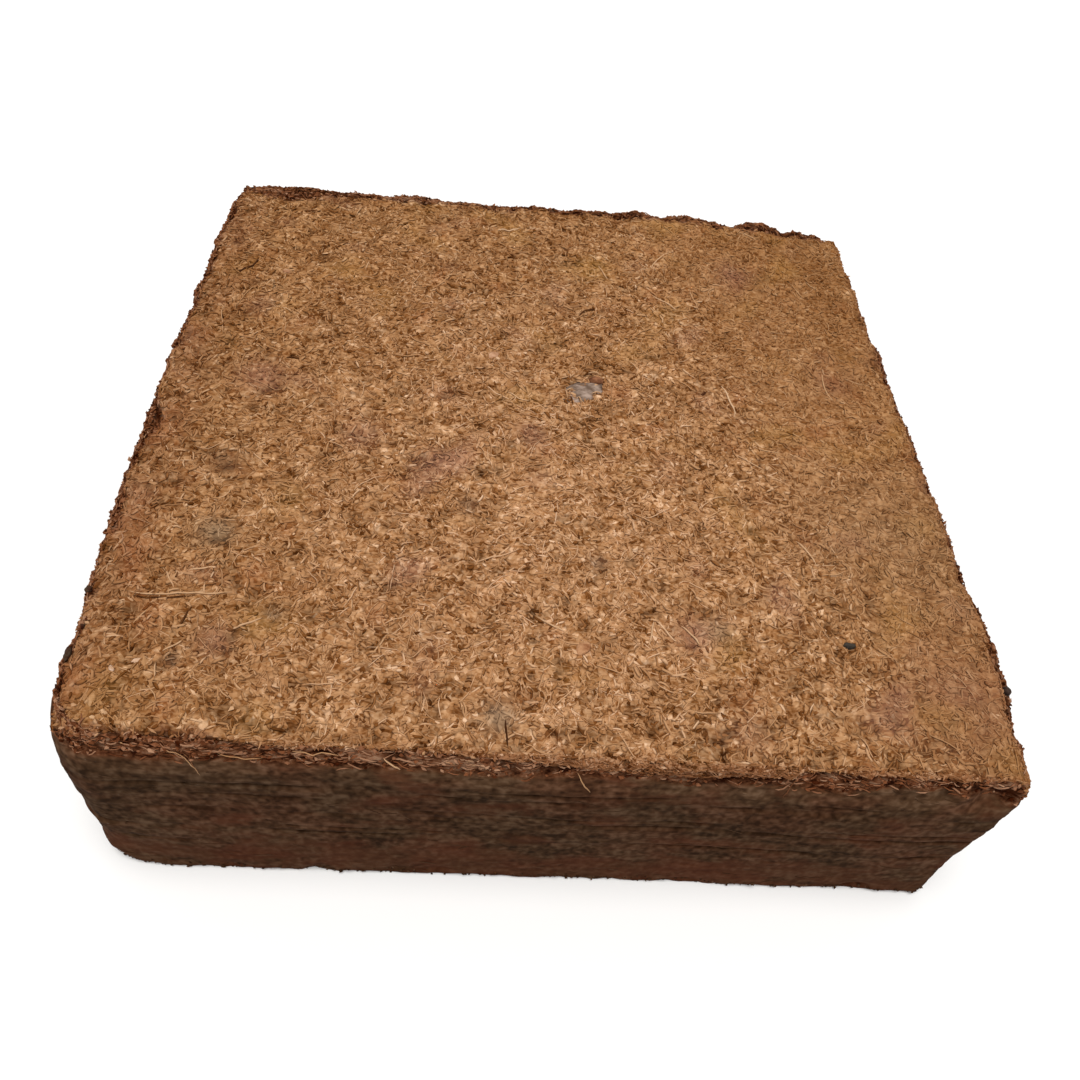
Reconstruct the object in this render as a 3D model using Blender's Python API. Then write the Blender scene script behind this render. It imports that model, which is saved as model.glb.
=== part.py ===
"""A coconut coir bale: coconut pith and short fibre pressed dry into one square block.

Metres, +Z up, with the origin in the middle of the flat underside. The block starts as a cube that is cut
into strips. The strips take the rounded form of the press box, and the surface is then hollowed inwards
from that form: a lumpy top, layered walls with open cracks between the layers, and a torn top edge.
"""

import itertools

import bmesh
import bpy
import numpy as np

# The press box, which the highest lumps and the farthest ledges touch.
WIDTH = 0.306
DEPTH = 0.306
HEIGHT = 0.0940

# Plan radius of each upright corner, one of them tighter at its foot. The front is at -Y, the right at +X.
FRONT_LEFT_RADIUS = 0.020
FRONT_LEFT_FOOT_RADIUS = 0.012
FRONT_RIGHT_RADIUS = 0.0045
BACK_RIGHT_RADIUS = 0.018
BACK_LEFT_RADIUS = 0.009
TOP_EDGE_RADIUS = 0.0045
BOTTOM_EDGE_RADIUS = 0.0025

# Strips that the cube is cut into, from each side edge inwards, with even cells between them.
EDGE_STRIPS = (0.002, 0.003, 0.004, 0.005)
MIDDLE_CELLS = 26
PLAIN_ROWS = (0.0012, 0.004, 0.010, 0.016, 0.022, 0.028, 0.041, 0.057, 0.072, 0.077)
RIM_ROWS = (0.081, 0.0845, 0.0875, 0.0905)

# Pressed layers part along these heights, in broken cracks.
CRACK_HEIGHTS = (0.034, 0.0485, 0.0655)
CRACK_HALF_WIDTH = 0.0012
CRACK_DEPTH = 0.0024
CRACK_LENGTH = 0.040
LAYER_WANDER = 0.0025
LAYER_WANDER_LENGTH = 0.085
WANDER_FADE = 0.012
LAYER_STEP = 0.0009
LAYER_STEP_LENGTH = 0.055

# How far the surface lies inside the press box, and what varies round that.
TOP_REST = 0.0020
TOP_SWELL = 0.0009
TOP_SWELL_LENGTH = 0.075
TOP_LUMP = 0.0013
TOP_LUMP_LENGTH = 0.021
WALL_REST = 0.0010
WALL_SWELL = 0.0006
WALL_SWELL_LENGTH = 0.060

# The torn top edge, and chips out of the bottom edge.
RIM_REACH = 0.0075
RIM_DEPTH = 0.0026
RIM_LENGTH = 0.0125
CHIP_REACH = 0.006
CHIP_DEPTH = 0.0035
CHIP_LENGTH = 0.017

# Single dents (depth above 0) and bumps (below 0): x, y, z, reach, depth.
DENTS = (
    (0.1390, -0.1530, 0.0830, 0.0065, 0.0050),
    (0.1530, -0.1490, 0.0840, 0.0080, -0.0030),
    (0.1530, -0.1530, 0.0450, 0.0400, -0.0012),
    (0.0820, -0.1510, 0.0900, 0.0060, 0.0030),
    (-0.1470, -0.1470, 0.0930, 0.0200, 0.0035),
    (-0.1530, -0.0900, 0.0930, 0.0220, 0.0022),
    (-0.1520, -0.1080, 0.0560, 0.0120, -0.0020),
    (-0.1510, 0.1500, 0.0930, 0.0250, 0.0012),
    (-0.0600, 0.1520, 0.0920, 0.0160, -0.0015),
    (0.0450, 0.1530, 0.0920, 0.0600, -0.0026),
    (0.1070, 0.1510, 0.0920, 0.0090, -0.0030),
    (0.1530, 0.0950, 0.0920, 0.0300, 0.0008),
    (0.1520, 0.0590, 0.0900, 0.0060, -0.0020),
    (0.1530, -0.0600, 0.0920, 0.0400, -0.0015),
    (0.1520, -0.1170, 0.0880, 0.0070, -0.0025),
)

LATTICE = 32
NOISE_GAIN = 1.6
# Rows of a turn that keeps the noise lattice off the block's own planes.
LATTICE_TURN = np.array([[0.80, 0.36, -0.48], [-0.60, 0.48, -0.64], [0.0, 0.80, 0.60]])


def noise(points, length, seed):
    """Smooth noise, mostly within -1 to 1, whose lumps are about half of length across.

    Every corner of a cubic lattice has a random slope. A point takes the heights that the slopes of its
    eight nearest corners give it, blended by the quintic ease 6t^5 - 15t^4 + 10t^3.
    """
    slopes = np.random.default_rng(seed).normal(size=(LATTICE, LATTICE, LATTICE, 3))
    slopes /= np.linalg.norm(slopes, axis=-1, keepdims=True)
    place = points @ LATTICE_TURN.T / length
    corner = np.floor(place).astype(int)
    inside = place - corner
    ease = inside**3 * (inside * (inside * 6 - 15) + 10)
    total = np.zeros(len(points))
    for step in itertools.product((0, 1), repeat=3):
        index = (corner + step) % LATTICE
        slope = slopes[index[:, 0], index[:, 1], index[:, 2]]
        share = np.where(step, ease, 1 - ease).prod(axis=1)
        total += share * (slope * (inside - step)).sum(axis=1)
    return total * NOISE_GAIN


def ramp(value, start, end):
    """0 at start and before, 1 at end and after, with a smooth rise between."""
    t = np.clip((value - start) / (end - start), 0, 1)
    return t * t * (3 - 2 * t)


def disc(a, b):
    """Lays the unit square on the quarter disc: a*sqrt(1 - b^2/2), b*sqrt(1 - a^2/2)."""
    return a * np.sqrt(1 - b * b / 2), b * np.sqrt(1 - a * a / 2)


def corner_radius(x, y, z):
    """The plan radius of the upright corner in the point's own quarter of the block."""
    front_left = FRONT_LEFT_FOOT_RADIUS + (FRONT_LEFT_RADIUS - FRONT_LEFT_FOOT_RADIUS) * z / HEIGHT
    front = np.where(x < 0, front_left, FRONT_RIGHT_RADIUS)
    back = np.where(x < 0, BACK_LEFT_RADIUS, BACK_RIGHT_RADIUS)
    return np.where(y < 0, front, back)


def pressed(cube):
    """Moves points of the plain cube onto the press box with its rounded corners and edges.

    Returns the points, and the outward direction at each.
    """
    x, y, z = cube.T
    radius = corner_radius(x, y, z)
    # In the square at each upright corner, the plan goes from a square to a quarter disc.
    a = np.clip((abs(x) - (WIDTH / 2 - radius)) / radius, 0, 1)
    b = np.clip((abs(y) - (DEPTH / 2 - radius)) / radius, 0, 1)
    round_a, round_b = disc(a, b)
    at_corner = (a > 0) & (b > 0)
    side_x, side_y = np.copysign(1.0, x), np.copysign(1.0, y)
    plan_x = np.where(at_corner, side_x * (WIDTH / 2 - radius + radius * round_a), x)
    plan_y = np.where(at_corner, side_y * (DEPTH / 2 - radius + radius * round_b), y)
    # Away from the corners, the nearer side gives the direction in plan.
    inset_x, inset_y = WIDTH / 2 - abs(x), DEPTH / 2 - abs(y)
    out_x = side_x * np.where(at_corner, round_a, inset_x < inset_y)
    out_y = side_y * np.where(at_corner, round_b, inset_x >= inset_y)
    size = np.hypot(out_x, out_y)
    out_x, out_y = out_x / size, out_y / size
    # The same square to disc step, seen in section, rounds the top and the bottom edge.
    inset = np.minimum(inset_x, inset_y)
    top = z > HEIGHT / 2
    edge = np.where(top, TOP_EDGE_RADIUS, BOTTOM_EDGE_RADIUS)
    to_face = np.where(top, HEIGHT - z, z)
    u = np.clip(1 - inset / edge, 0, 1)
    v = np.clip(1 - to_face / edge, 0, 1)
    round_u, round_v = disc(u, v)
    on_edge = (u > 0) & (v > 0)
    shift = np.where(on_edge, edge * (u - round_u), 0.0)
    level = np.where(on_edge, edge * (1 - round_v), to_face)
    height = np.where(top, HEIGHT - level, level)
    placed = np.stack([plan_x - out_x * shift, plan_y - out_y * shift, height], axis=1)
    sideways = np.where(on_edge, round_u, u)
    upwards = np.where(on_edge, round_v, v) * np.where(top, 1, -1)
    out = np.stack([out_x * sideways, out_y * sideways, upwards], axis=1)
    return placed, out / np.linalg.norm(out, axis=1, keepdims=True)


def layer_wander(placed, z):
    """How far the pressed layers rise and fall along the walls, none at the top and bottom edges."""
    along = placed * (1, 1, 0)
    fade = ramp(z, 0, WANDER_FADE) * ramp(HEIGHT - z, 0, WANDER_FADE)
    return LAYER_WANDER * fade * noise(along, LAYER_WANDER_LENGTH, 11)


def wall_hollow(placed, z):
    """Depth on the walls: slow swells, a step from layer to layer, and cracks along parts of each joint."""
    along = placed * (1, 1, 0)
    depth = WALL_REST + WALL_SWELL * noise(placed, WALL_SWELL_LENGTH, 21)
    step = LAYER_STEP * noise(along, LAYER_STEP_LENGTH, 30)
    for k, height in enumerate(CRACK_HEIGHTS):
        above = ramp(z, height - CRACK_HALF_WIDTH, height + CRACK_HALF_WIDTH)
        step += above * (LAYER_STEP * noise(along, LAYER_STEP_LENGTH, 31 + k) - step)
        opened = ramp(noise(along, CRACK_LENGTH, 41 + k), -0.15, 0.35)
        depth += CRACK_DEPTH * opened * np.clip(1 - abs(z - height) / CRACK_HALF_WIDTH, 0, 1)
    chipped = ramp(noise(placed, CHIP_LENGTH, 51), 0.0, 0.8)
    return depth + step + CHIP_DEPTH * chipped * np.exp(-((z / CHIP_REACH) ** 2))


def top_hollow(placed):
    """Depth on the top: a slow swell with lumps on it."""
    swell = TOP_SWELL * noise(placed, TOP_SWELL_LENGTH, 61)
    return TOP_REST + swell + TOP_LUMP * noise(placed, TOP_LUMP_LENGTH, 62)


def hollow(cube, placed, out):
    """Depth of the surface under the press box. The underside has none, so it stays flat."""
    x, y, z = cube.T
    upwards, sideways = np.clip(out[:, 2], 0, 1) ** 2, out[:, 0] ** 2 + out[:, 1] ** 2
    depth = upwards * top_hollow(placed) + sideways * wall_hollow(placed, z)
    inset = np.minimum(WIDTH / 2 - abs(x), DEPTH / 2 - abs(y))
    from_rim = np.hypot(inset, HEIGHT - z)
    torn = 0.5 + 0.5 * noise(placed, RIM_LENGTH, 71)
    depth += RIM_DEPTH * torn * np.exp(-((from_rim / RIM_REACH) ** 2))
    for dent_x, dent_y, dent_z, reach, dent_depth in DENTS:
        away = np.linalg.norm(placed - (dent_x, dent_y, dent_z), axis=1)
        depth += dent_depth * np.exp(-((away / reach) ** 2)) * (upwards + sideways)
    return np.maximum(depth, 0)


def side_cuts(width):
    """Places to cut across the block: narrow strips beside its edges and even cells between them."""
    narrow = width / 2 - np.cumsum(EDGE_STRIPS)
    return np.concatenate([-narrow[:-1], np.linspace(-narrow[-1], narrow[-1], MIDDLE_CELLS + 1), narrow[:-1]])


def height_cuts():
    """Heights to cut at: three close ones for each crack, and plain ones between."""
    cracks = [height + CRACK_HALF_WIDTH * side for height in CRACK_HEIGHTS for side in (-1, 0, 1)]
    return np.array([*PLAIN_ROWS, *cracks, *RIM_ROWS])


def cut(bm, axis, places):
    """Cuts the mesh by a plane across the axis at each of the places."""
    normal = np.eye(3)[axis]
    for place in places:
        everything = bm.verts[:] + bm.edges[:] + bm.faces[:]
        bmesh.ops.bisect_plane(bm, geom=everything, dist=1e-6, plane_co=normal * place, plane_no=normal)


def coir_material():
    """Matt brown pith."""
    material = bpy.data.materials.new("coir")
    material.use_nodes = True
    shader = material.node_tree.nodes["Principled BSDF"]
    shader.inputs["Base Color"].default_value = (0.371, 0.181, 0.078, 1.0)
    shader.inputs["Roughness"].default_value = 0.95
    shader.inputs["Metallic"].default_value = 0.0
    return material


def coir_bale():
    """The pressed block."""
    bm = bmesh.new()
    bmesh.ops.create_cube(bm, size=1.0)
    bmesh.ops.scale(bm, vec=(WIDTH, DEPTH, HEIGHT), verts=bm.verts)
    bmesh.ops.translate(bm, vec=(0, 0, HEIGHT / 2), verts=bm.verts)
    cut(bm, 0, side_cuts(WIDTH))
    cut(bm, 1, side_cuts(DEPTH))
    cut(bm, 2, height_cuts())
    mesh = bpy.data.meshes.new("coir_bale")
    bm.to_mesh(mesh)
    bm.free()
    cube = np.empty(len(mesh.vertices) * 3)
    mesh.vertices.foreach_get("co", cube)
    cube = cube.reshape(-1, 3)
    placed, out = pressed(cube)
    formed = placed - out * hollow(cube, placed, out)[:, None]
    sideways = out[:, 0] ** 2 + out[:, 1] ** 2
    formed[:, 2] += sideways * layer_wander(placed, cube[:, 2])
    mesh.vertices.foreach_set("co", formed.ravel())
    mesh.update()
    mesh.shade_smooth()
    mesh.set_sharp_from_angle(angle=np.radians(50))
    mesh.materials.append(coir_material())
    return bpy.data.objects.new("coir_bale", mesh)


def main():
    for old in list(bpy.data.objects):
        bpy.data.objects.remove(old)
    bale = bpy.data.collections.new("coconut coir bale")
    bpy.context.scene.collection.children.link(bale)
    bale.objects.link(coir_bale())


main()
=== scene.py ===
# %% [markdown]
# # A pressed bale of coconut coir
#
# Coconut pith and short fibre are dried, dropped into a square steel box and pressed until the loose heap
# is a hard block. This notebook dresses the measured solid of such a bale. It makes one fine skin for the
# block, then thousands of crumbs and fibres that lie on it, and a few single things that catch the eye.
#
# The frame comes first. It holds the solid that was built before, at its real size in metres, and
# nothing in it is moved here.

# %% Load the frame
import itertools
import math

import bpy
import numpy as np
from mathutils import Matrix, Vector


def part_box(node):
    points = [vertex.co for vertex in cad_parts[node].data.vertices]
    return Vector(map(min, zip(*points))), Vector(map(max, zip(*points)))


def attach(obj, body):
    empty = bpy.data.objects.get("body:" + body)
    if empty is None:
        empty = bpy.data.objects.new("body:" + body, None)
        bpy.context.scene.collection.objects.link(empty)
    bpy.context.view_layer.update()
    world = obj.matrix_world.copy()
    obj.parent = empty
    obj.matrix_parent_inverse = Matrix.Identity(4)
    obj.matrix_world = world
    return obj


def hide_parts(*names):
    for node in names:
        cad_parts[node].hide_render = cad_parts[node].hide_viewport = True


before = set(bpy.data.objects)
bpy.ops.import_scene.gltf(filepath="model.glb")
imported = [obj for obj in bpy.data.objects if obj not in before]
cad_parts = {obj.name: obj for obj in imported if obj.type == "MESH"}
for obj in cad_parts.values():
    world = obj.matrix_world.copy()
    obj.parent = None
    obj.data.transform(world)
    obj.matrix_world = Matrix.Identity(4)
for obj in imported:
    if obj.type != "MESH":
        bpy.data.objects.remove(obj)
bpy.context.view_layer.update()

# %% [markdown]
# ## Sizes
#
# Everything below hangs on two sizes, the side of the square and the height. They are read from the solid
# and rounded to a tenth of a millimetre, so that points on the faces test as being exactly on them. The
# other values repeat how the solid was made: corners that differ from each other, layers that part in
# cracks, a lumpy top and a torn upper edge.

# %% Sizes of the pressed block
LOW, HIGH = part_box("coir_bale")
WIDTH = round(HIGH.x - LOW.x, 4)
HEIGHT = round(HIGH.z - LOW.z, 4)
HALF = WIDTH / 2

FRONT_LEFT_RADIUS = 0.020
FRONT_LEFT_FOOT_RADIUS = 0.012
FRONT_RIGHT_RADIUS = 0.0045
BACK_RIGHT_RADIUS = 0.018
BACK_LEFT_RADIUS = 0.009
TOP_EDGE_RADIUS = 0.0045
BOTTOM_EDGE_RADIUS = 0.0025

CRACK_HEIGHTS = (0.034, 0.0485, 0.0655)
CRACK_HALF_WIDTH = 0.0012
CRACK_DEPTH = 0.0024
CRACK_LENGTH = 0.040
CRACK_OPEN = (-0.15, 0.35)
LAYER_WANDER = 0.0025
LAYER_WANDER_LENGTH = 0.085
WANDER_FADE = 0.012
LAYER_STEP = 0.0009
LAYER_STEP_LENGTH = 0.055

TOP_REST = 0.0020
TOP_SWELL = 0.0009
TOP_SWELL_LENGTH = 0.075
TOP_LUMP = 0.0013
TOP_LUMP_LENGTH = 0.021
WALL_REST = 0.0010
WALL_SWELL = 0.0006
WALL_SWELL_LENGTH = 0.060

RIM_REACH = 0.0075
RIM_DEPTH = 0.0026
RIM_LENGTH = 0.0125
CHIP_REACH = 0.006
CHIP_DEPTH = 0.0035
CHIP_LENGTH = 0.017
CHIP_OPEN = (0.0, 0.8)

# Single dents (depth above 0) and bumps (below 0): x, y, z, reach, depth.
DENTS = (
    (0.1390, -0.1530, 0.0830, 0.0065, 0.0050),
    (0.1530, -0.1490, 0.0840, 0.0080, -0.0030),
    (0.1530, -0.1530, 0.0450, 0.0400, -0.0012),
    (0.0820, -0.1510, 0.0900, 0.0060, 0.0030),
    (-0.1470, -0.1470, 0.0930, 0.0200, 0.0035),
    (-0.1530, -0.0900, 0.0930, 0.0220, 0.0022),
    (-0.1520, -0.1080, 0.0560, 0.0120, -0.0020),
    (-0.1510, 0.1500, 0.0930, 0.0250, 0.0012),
    (-0.0600, 0.1520, 0.0920, 0.0160, -0.0015),
    (0.0450, 0.1530, 0.0920, 0.0600, -0.0026),
    (0.1070, 0.1510, 0.0920, 0.0090, -0.0030),
    (0.1530, 0.0950, 0.0920, 0.0300, 0.0008),
    (0.1520, 0.0590, 0.0900, 0.0060, -0.0020),
    (0.1530, -0.0600, 0.0920, 0.0400, -0.0015),
    (0.1520, -0.1170, 0.0880, 0.0070, -0.0025),
)
print(f"side {WIDTH * 1000:.1f} mm, height {HEIGHT * 1000:.1f} mm")

# %% [markdown]
# ## Noise that knows no grid
#
# Pressed pith has no pattern, only lumps of a size. Gradient noise gives that: each corner of an unseen
# cubic lattice has a random slope, and a point blends the heights of its eight corners. The lattice is
# turned, so that none of its planes lies in a face of the block. The whole lattice comes from one seed,
# so the same lumps are there on every run, and the coarse solid and the fine skin agree about them.

# %% Noise and soft steps
LATTICE = 32
NOISE_GAIN = 1.6
LATTICE_TURN = np.array([[0.80, 0.36, -0.48], [-0.60, 0.48, -0.64], [0.0, 0.80, 0.60]])


def noise(points, length, seed):
    """Gradient noise, mostly -1 to 1: eight corner slopes blended by the ease 6t^5 - 15t^4 + 10t^3."""
    slopes = np.random.default_rng(seed).normal(size=(LATTICE, LATTICE, LATTICE, 3))
    slopes /= np.linalg.norm(slopes, axis=-1, keepdims=True)
    place = points @ LATTICE_TURN.T / length
    corner = np.floor(place).astype(int)
    inside = place - corner
    ease = inside**3 * (inside * (inside * 6 - 15) + 10)
    total = np.zeros(len(points))
    for step in itertools.product((0, 1), repeat=3):
        index = (corner + step) % LATTICE
        slope = slopes[index[:, 0], index[:, 1], index[:, 2]]
        share = np.where(step, ease, 1 - ease).prod(axis=1)
        total += share * (slope * (inside - step)).sum(axis=1)
    return total * NOISE_GAIN


def ramp(value, start, end):
    """0 up to start, 1 from end on, and 3t^2 - 2t^3 between."""
    t = np.clip((value - start) / (end - start), 0, 1)
    return t * t * (3 - 2 * t)


def bell(value):
    """1 at 0, falling off as exp(-value^2)."""
    return np.exp(-(value**2))


def disc(a, b):
    """The unit square laid on the quarter disc: a*sqrt(1 - b^2/2), b*sqrt(1 - a^2/2)."""
    return a * np.sqrt(1 - b * b / 2), b * np.sqrt(1 - a * a / 2)


# %% [markdown]
# ## The press box
#
# A point of the skin is named by a point of a plain cube. Two square-to-disc steps lay the cube on the
# press box: one in plan at each upright corner, and one in section along the top and the bottom edge. The
# result comes with the direction that points straight out of the block there, which everything else is
# measured along.


# %% From the cube to the press box
def corner_radius(x, y, z):
    """Plan radius in each quarter of the block; at the front left it shrinks towards the foot."""
    front_left = FRONT_LEFT_FOOT_RADIUS + (FRONT_LEFT_RADIUS - FRONT_LEFT_FOOT_RADIUS) * z / HEIGHT
    front = np.where(x < 0, front_left, FRONT_RIGHT_RADIUS)
    back = np.where(x < 0, BACK_LEFT_RADIUS, BACK_RIGHT_RADIUS)
    return np.where(y < 0, front, back)


def pressed(cube):
    """Cube points on the rounded press box, and the outward direction at each."""
    x, y, z = cube.T
    radius = corner_radius(x, y, z)
    a = np.clip((abs(x) - (HALF - radius)) / radius, 0, 1)
    b = np.clip((abs(y) - (HALF - radius)) / radius, 0, 1)
    round_a, round_b = disc(a, b)
    at_corner = (a > 0) & (b > 0)
    side_x, side_y = np.copysign(1.0, x), np.copysign(1.0, y)
    plan_x = np.where(at_corner, side_x * (HALF - radius + radius * round_a), x)
    plan_y = np.where(at_corner, side_y * (HALF - radius + radius * round_b), y)
    inset_x, inset_y = HALF - abs(x), HALF - abs(y)
    out_x = side_x * np.where(at_corner, round_a, inset_x < inset_y)
    out_y = side_y * np.where(at_corner, round_b, inset_x >= inset_y)
    size = np.hypot(out_x, out_y)
    out_x, out_y = out_x / size, out_y / size
    inset = np.minimum(inset_x, inset_y)
    top = z > HEIGHT / 2
    edge = np.where(top, TOP_EDGE_RADIUS, BOTTOM_EDGE_RADIUS)
    to_face = np.where(top, HEIGHT - z, z)
    u = np.clip(1 - inset / edge, 0, 1)
    v = np.clip(1 - to_face / edge, 0, 1)
    round_u, round_v = disc(u, v)
    on_edge = (u > 0) & (v > 0)
    shift = np.where(on_edge, edge * (u - round_u), 0.0)
    level = np.where(on_edge, edge * (1 - round_v), to_face)
    height = np.where(top, HEIGHT - level, level)
    placed = np.stack([plan_x - out_x * shift, plan_y - out_y * shift, height], axis=1)
    sideways = np.where(on_edge, round_u, u)
    upwards = np.where(on_edge, round_v, v) * np.where(top, 1, -1)
    out = np.stack([out_x * sideways, out_y * sideways, upwards], axis=1)
    return placed, out / np.linalg.norm(out, axis=1, keepdims=True)


# %% [markdown]
# ## Where the top ends and the walls begin
#
# The press plate let go along a ragged line. Loose tan matter from the top hangs over the edge a little,
# then comes a dark torn band with a crevice along its upper side, and below it the tight wall. At the
# front the tan matter reaches furthest down right of the middle, and the band is widest at the left
# corner. Along the back and the left the dark band starts on the top already. Each line is read off the
# photograph at a few places along its side, straight in between, and made ragged by noise. The skin, its
# colours and the loose matter all ask the same functions, so they agree.

# %% Lines along the top edge
# Along the side, and how far past the top edge the tan matter reaches there, in millimetres.
BROW_KNOTS = {
    "front": ((-150, -6), (-130, -5.5), (-108, -5), (-97, -3), (-86, 0), (-77, 2.2), (-63, 0.5),
              (-45, -1.5), (-28, 0), (-16, 3), (0, 4.5), (20, 6), (45, 8.5), (60, 8.5), (72, 6.5),
              (79, 5), (83, -2), (88, 3.2), (100, 2.8), (112, 1.8), (135, 1.8), (145, 2.2), (149, 7),
              (152.5, 12)),
    "back": ((-150, -11), (-135, -15.5), (-118, -14.5), (-105, -10), (-96, -8), (-75, -9), (-57, -7),
             (-30, -6.5), (-5, -7.5), (17, -6), (50, -6.5), (78, -6.5), (104, -7.5), (127, -7.5),
             (150, -8)),
    "left": ((-150, -4.5), (-130, -3.5), (-119, -5.5), (-108, -2), (-98, -5), (-90, -2), (-80, -4.5),
             (-73, -7), (-64, -5), (-58, -6), (-53, -1), (-35, -2.5), (-25, -9), (-14, -6), (-8, -2),
             (26, -3), (40, -3.5), (60, -5), (80, -5.5), (110, -5), (123, -7.5), (135, -5), (150, -7)),
    "right": ((-152.5, 12), (-147, 4), (-141, 0), (-132, -1.5), (150, -1.5)),
}
# The same for the lower end of the torn band at the front; the other sides keep one value.
BAND_KNOTS = ((-150, 15.5), (-131, 12.8), (-120, 13.7), (-97, 13), (-63, 13.5), (-40, 11.8), (-15, 12.2),
              (8, 9.5), (20, 8.8), (33, 11), (46, 13.3), (58, 11.7), (71, 12), (88, 13.7), (97, 11.5),
              (104, 8), (121, 7.5), (138, 9.5), (146, 14), (152, 17))
BAND_ELSEWHERE = 0.011
# How far noise moves both lines, and the lengths of its slow and its quick waves.
BROW_SWAY, BROW_WAVES = 0.0013, (0.011, 0.0048)
BAND_SWAY, BAND_WAVES = 0.0009, (0.011, 0.0045)
QUICK_WAVE = 0.8
LINE_SOFT = 0.0010
# How torn the tan matter is where it bends over the edge, where it hangs, just before it ends and in a
# strip at the left, and between which distances past the edge, or past the line, each of these comes in.
UNDER_EDGE, BENDING = 0.78, (-0.008, 0.002)
HANGING, BELOW_BEND = 0.12, (0.002, 0.008)
FRINGE, FRINGE_ZONE = 0.80, (-0.0034, 0.0005)
LEFT_FRINGE, LEFT_STRIP = 0.36, (-0.030, -0.008)
FRINGE_SWAY, FRINGE_WAVE = 0.0014, 0.0045
RIGHT_CORNER_REACH, RIGHT_CORNER_CALM = 0.014, 0.5
# Across how much of its length a corner changes from one side to the next.
CORNER_SOFT = 0.004
# The pale shoulder of the wall ends between these distances past the edge, and the foot ends between these
# heights. The rubbed part of the top begins between these places to the right, further left at the back.
SHOULDER_END, SHOULDER_SWAY, SHOULDER_WAVE = (0.018, 0.025), 0.002, 0.03
FOOT_ZONE = (0.1 * HEIGHT, 0.4 * HEIGHT)
RUBBED_ZONE, RUBBED_SLANT, RUBBED_EDGE = (0.072, 0.102), 0.25, 0.004
CREVICE_DROP, CREVICE_REACH = 0.0014, 0.0014
CREVICE_WAVE, CREVICE_OPEN, CREVICE_ELSEWHERE = 0.010, (-0.55, 0.25), 0.8
# How open the crevice is along the front, and how much paler or darker the band is, as a tint.
CREVICE_KNOTS = ((-150, 0.2), (-125, 0.35), (-112, 0.9), (-95, 0.95), (-85, 0.55), (-65, 1.0), (-35, 0.85),
                 (-22, 0.4), (-10, 0.1), (12, 0.1), (30, 0.35), (70, 0.45), (95, 0.15), (150, 0.15))
BAND_TONES = ((-150, 0.05), (-110, 0.05), (-60, 0.08), (-30, 0.18), (-5, 0.17), (15, 0.10), (150, 0.08))
BAND_FOOT_SHADE = 0.14
# Holes in the front, sunk and painted dark as shade: x, height and reach, and how dark their shade is.
POCKET_SHADE = 0.8
POCKETS = ((0.1455, 0.0850, 0.0026), (0.0805, 0.0895, 0.0032), (0.0855, 0.0905, 0.0026))


def level_with(points):
    """The points dropped to the floor, for noise that is the same all the way up a wall."""
    return points * (1, 1, 0)


def over_edge(cube):
    """How far a cube point lies past the top edge: below 0 on the top, above 0 down the wall."""
    return HEIGHT - cube[:, 2] - (HALF - np.maximum(abs(cube[:, 0]), abs(cube[:, 1])))


def facing(cube):
    """For each side, 1 along it and 0 elsewhere, with a quick change across the corners."""
    x, y, _ = cube.T
    front, back = (ramp(out - abs(x), -CORNER_SOFT, CORNER_SOFT) for out in (-y, y))
    left = (1 - front - back) * (x < 0)
    return {"front": front, "back": back, "left": left, "right": 1 - front - back - left}


def along_knots(knots, place):
    """The value of a line given by knots in millimetres, straight between them."""
    places, values = np.array(knots).T / 1000
    return np.interp(place, places, values)


def brow_limit(cube):
    """How far past the top edge the tan matter reaches."""
    x, y, _ = cube.T
    line = np.zeros(len(cube))
    for side, share in facing(cube).items():
        line += share * along_knots(BROW_KNOTS[side], x if side in ("front", "back") else y)
    slow, quick = BROW_WAVES
    return line + BROW_SWAY * (noise(cube, slow, 92) + QUICK_WAVE * noise(cube, quick, 93))


def band_limit(cube):
    """How far past the top edge the torn band reaches."""
    front = facing(cube)["front"]
    line = front * along_knots(BAND_KNOTS, cube[:, 0]) + (1 - front) * BAND_ELSEWHERE
    slow, quick = BAND_WAVES
    return line + BAND_SWAY * (noise(level_with(cube), slow, 94) + QUICK_WAVE * noise(cube, quick, 95))


def wall_share(cube):
    """0 on the top and on the matter that hangs from it, 1 below."""
    return ramp(over_edge(cube) - brow_limit(cube), -LINE_SOFT, LINE_SOFT)


def right_corner(cube):
    """1 at the upper front right corner, falling off round it; tan matter wraps it without a break."""
    return bell(np.linalg.norm(cube - (HALF, -HALF, HEIGHT), axis=1) / RIGHT_CORNER_REACH)


def torn_share(cube):
    """How torn and dark tan matter is: 0 on the top, rising down the edge, and 1 past the brow.

    It also rises in the last few millimetres before the brow, by patches, and in a wide strip at the left.
    """
    over = over_edge(cube)
    bent = UNDER_EDGE * ramp(over, *BENDING) + HANGING * ramp(over, *BELOW_BEND)
    bent = bent * (1 - RIGHT_CORNER_CALM * right_corner(cube))
    past = over - brow_limit(cube) + FRINGE_SWAY * noise(cube, FRINGE_WAVE, 99)
    fringe = FRINGE * ramp(past, *FRINGE_ZONE)
    left = LEFT_FRINGE * facing(cube)["left"] * ramp(over, *LEFT_STRIP)
    return np.maximum.reduce([wall_share(cube), bent, fringe, left])


def rim_share(cube):
    """1 in the torn band and 0 elsewhere."""
    return wall_share(cube) * (1 - ramp(over_edge(cube) - band_limit(cube), -LINE_SOFT, LINE_SOFT))


def shoulder_share(cube):
    """1 in the top fifth of the wall, which is paler, fading out with a slow wave below that."""
    return 1 - ramp(over_edge(cube) + SHOULDER_SWAY * noise(cube, SHOULDER_WAVE, 98), *SHOULDER_END)


def foot_share(cube):
    """1 at the foot of the walls, fading out below the middle of the height."""
    return 1 - ramp(cube[:, 2], *FOOT_ZONE)


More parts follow.
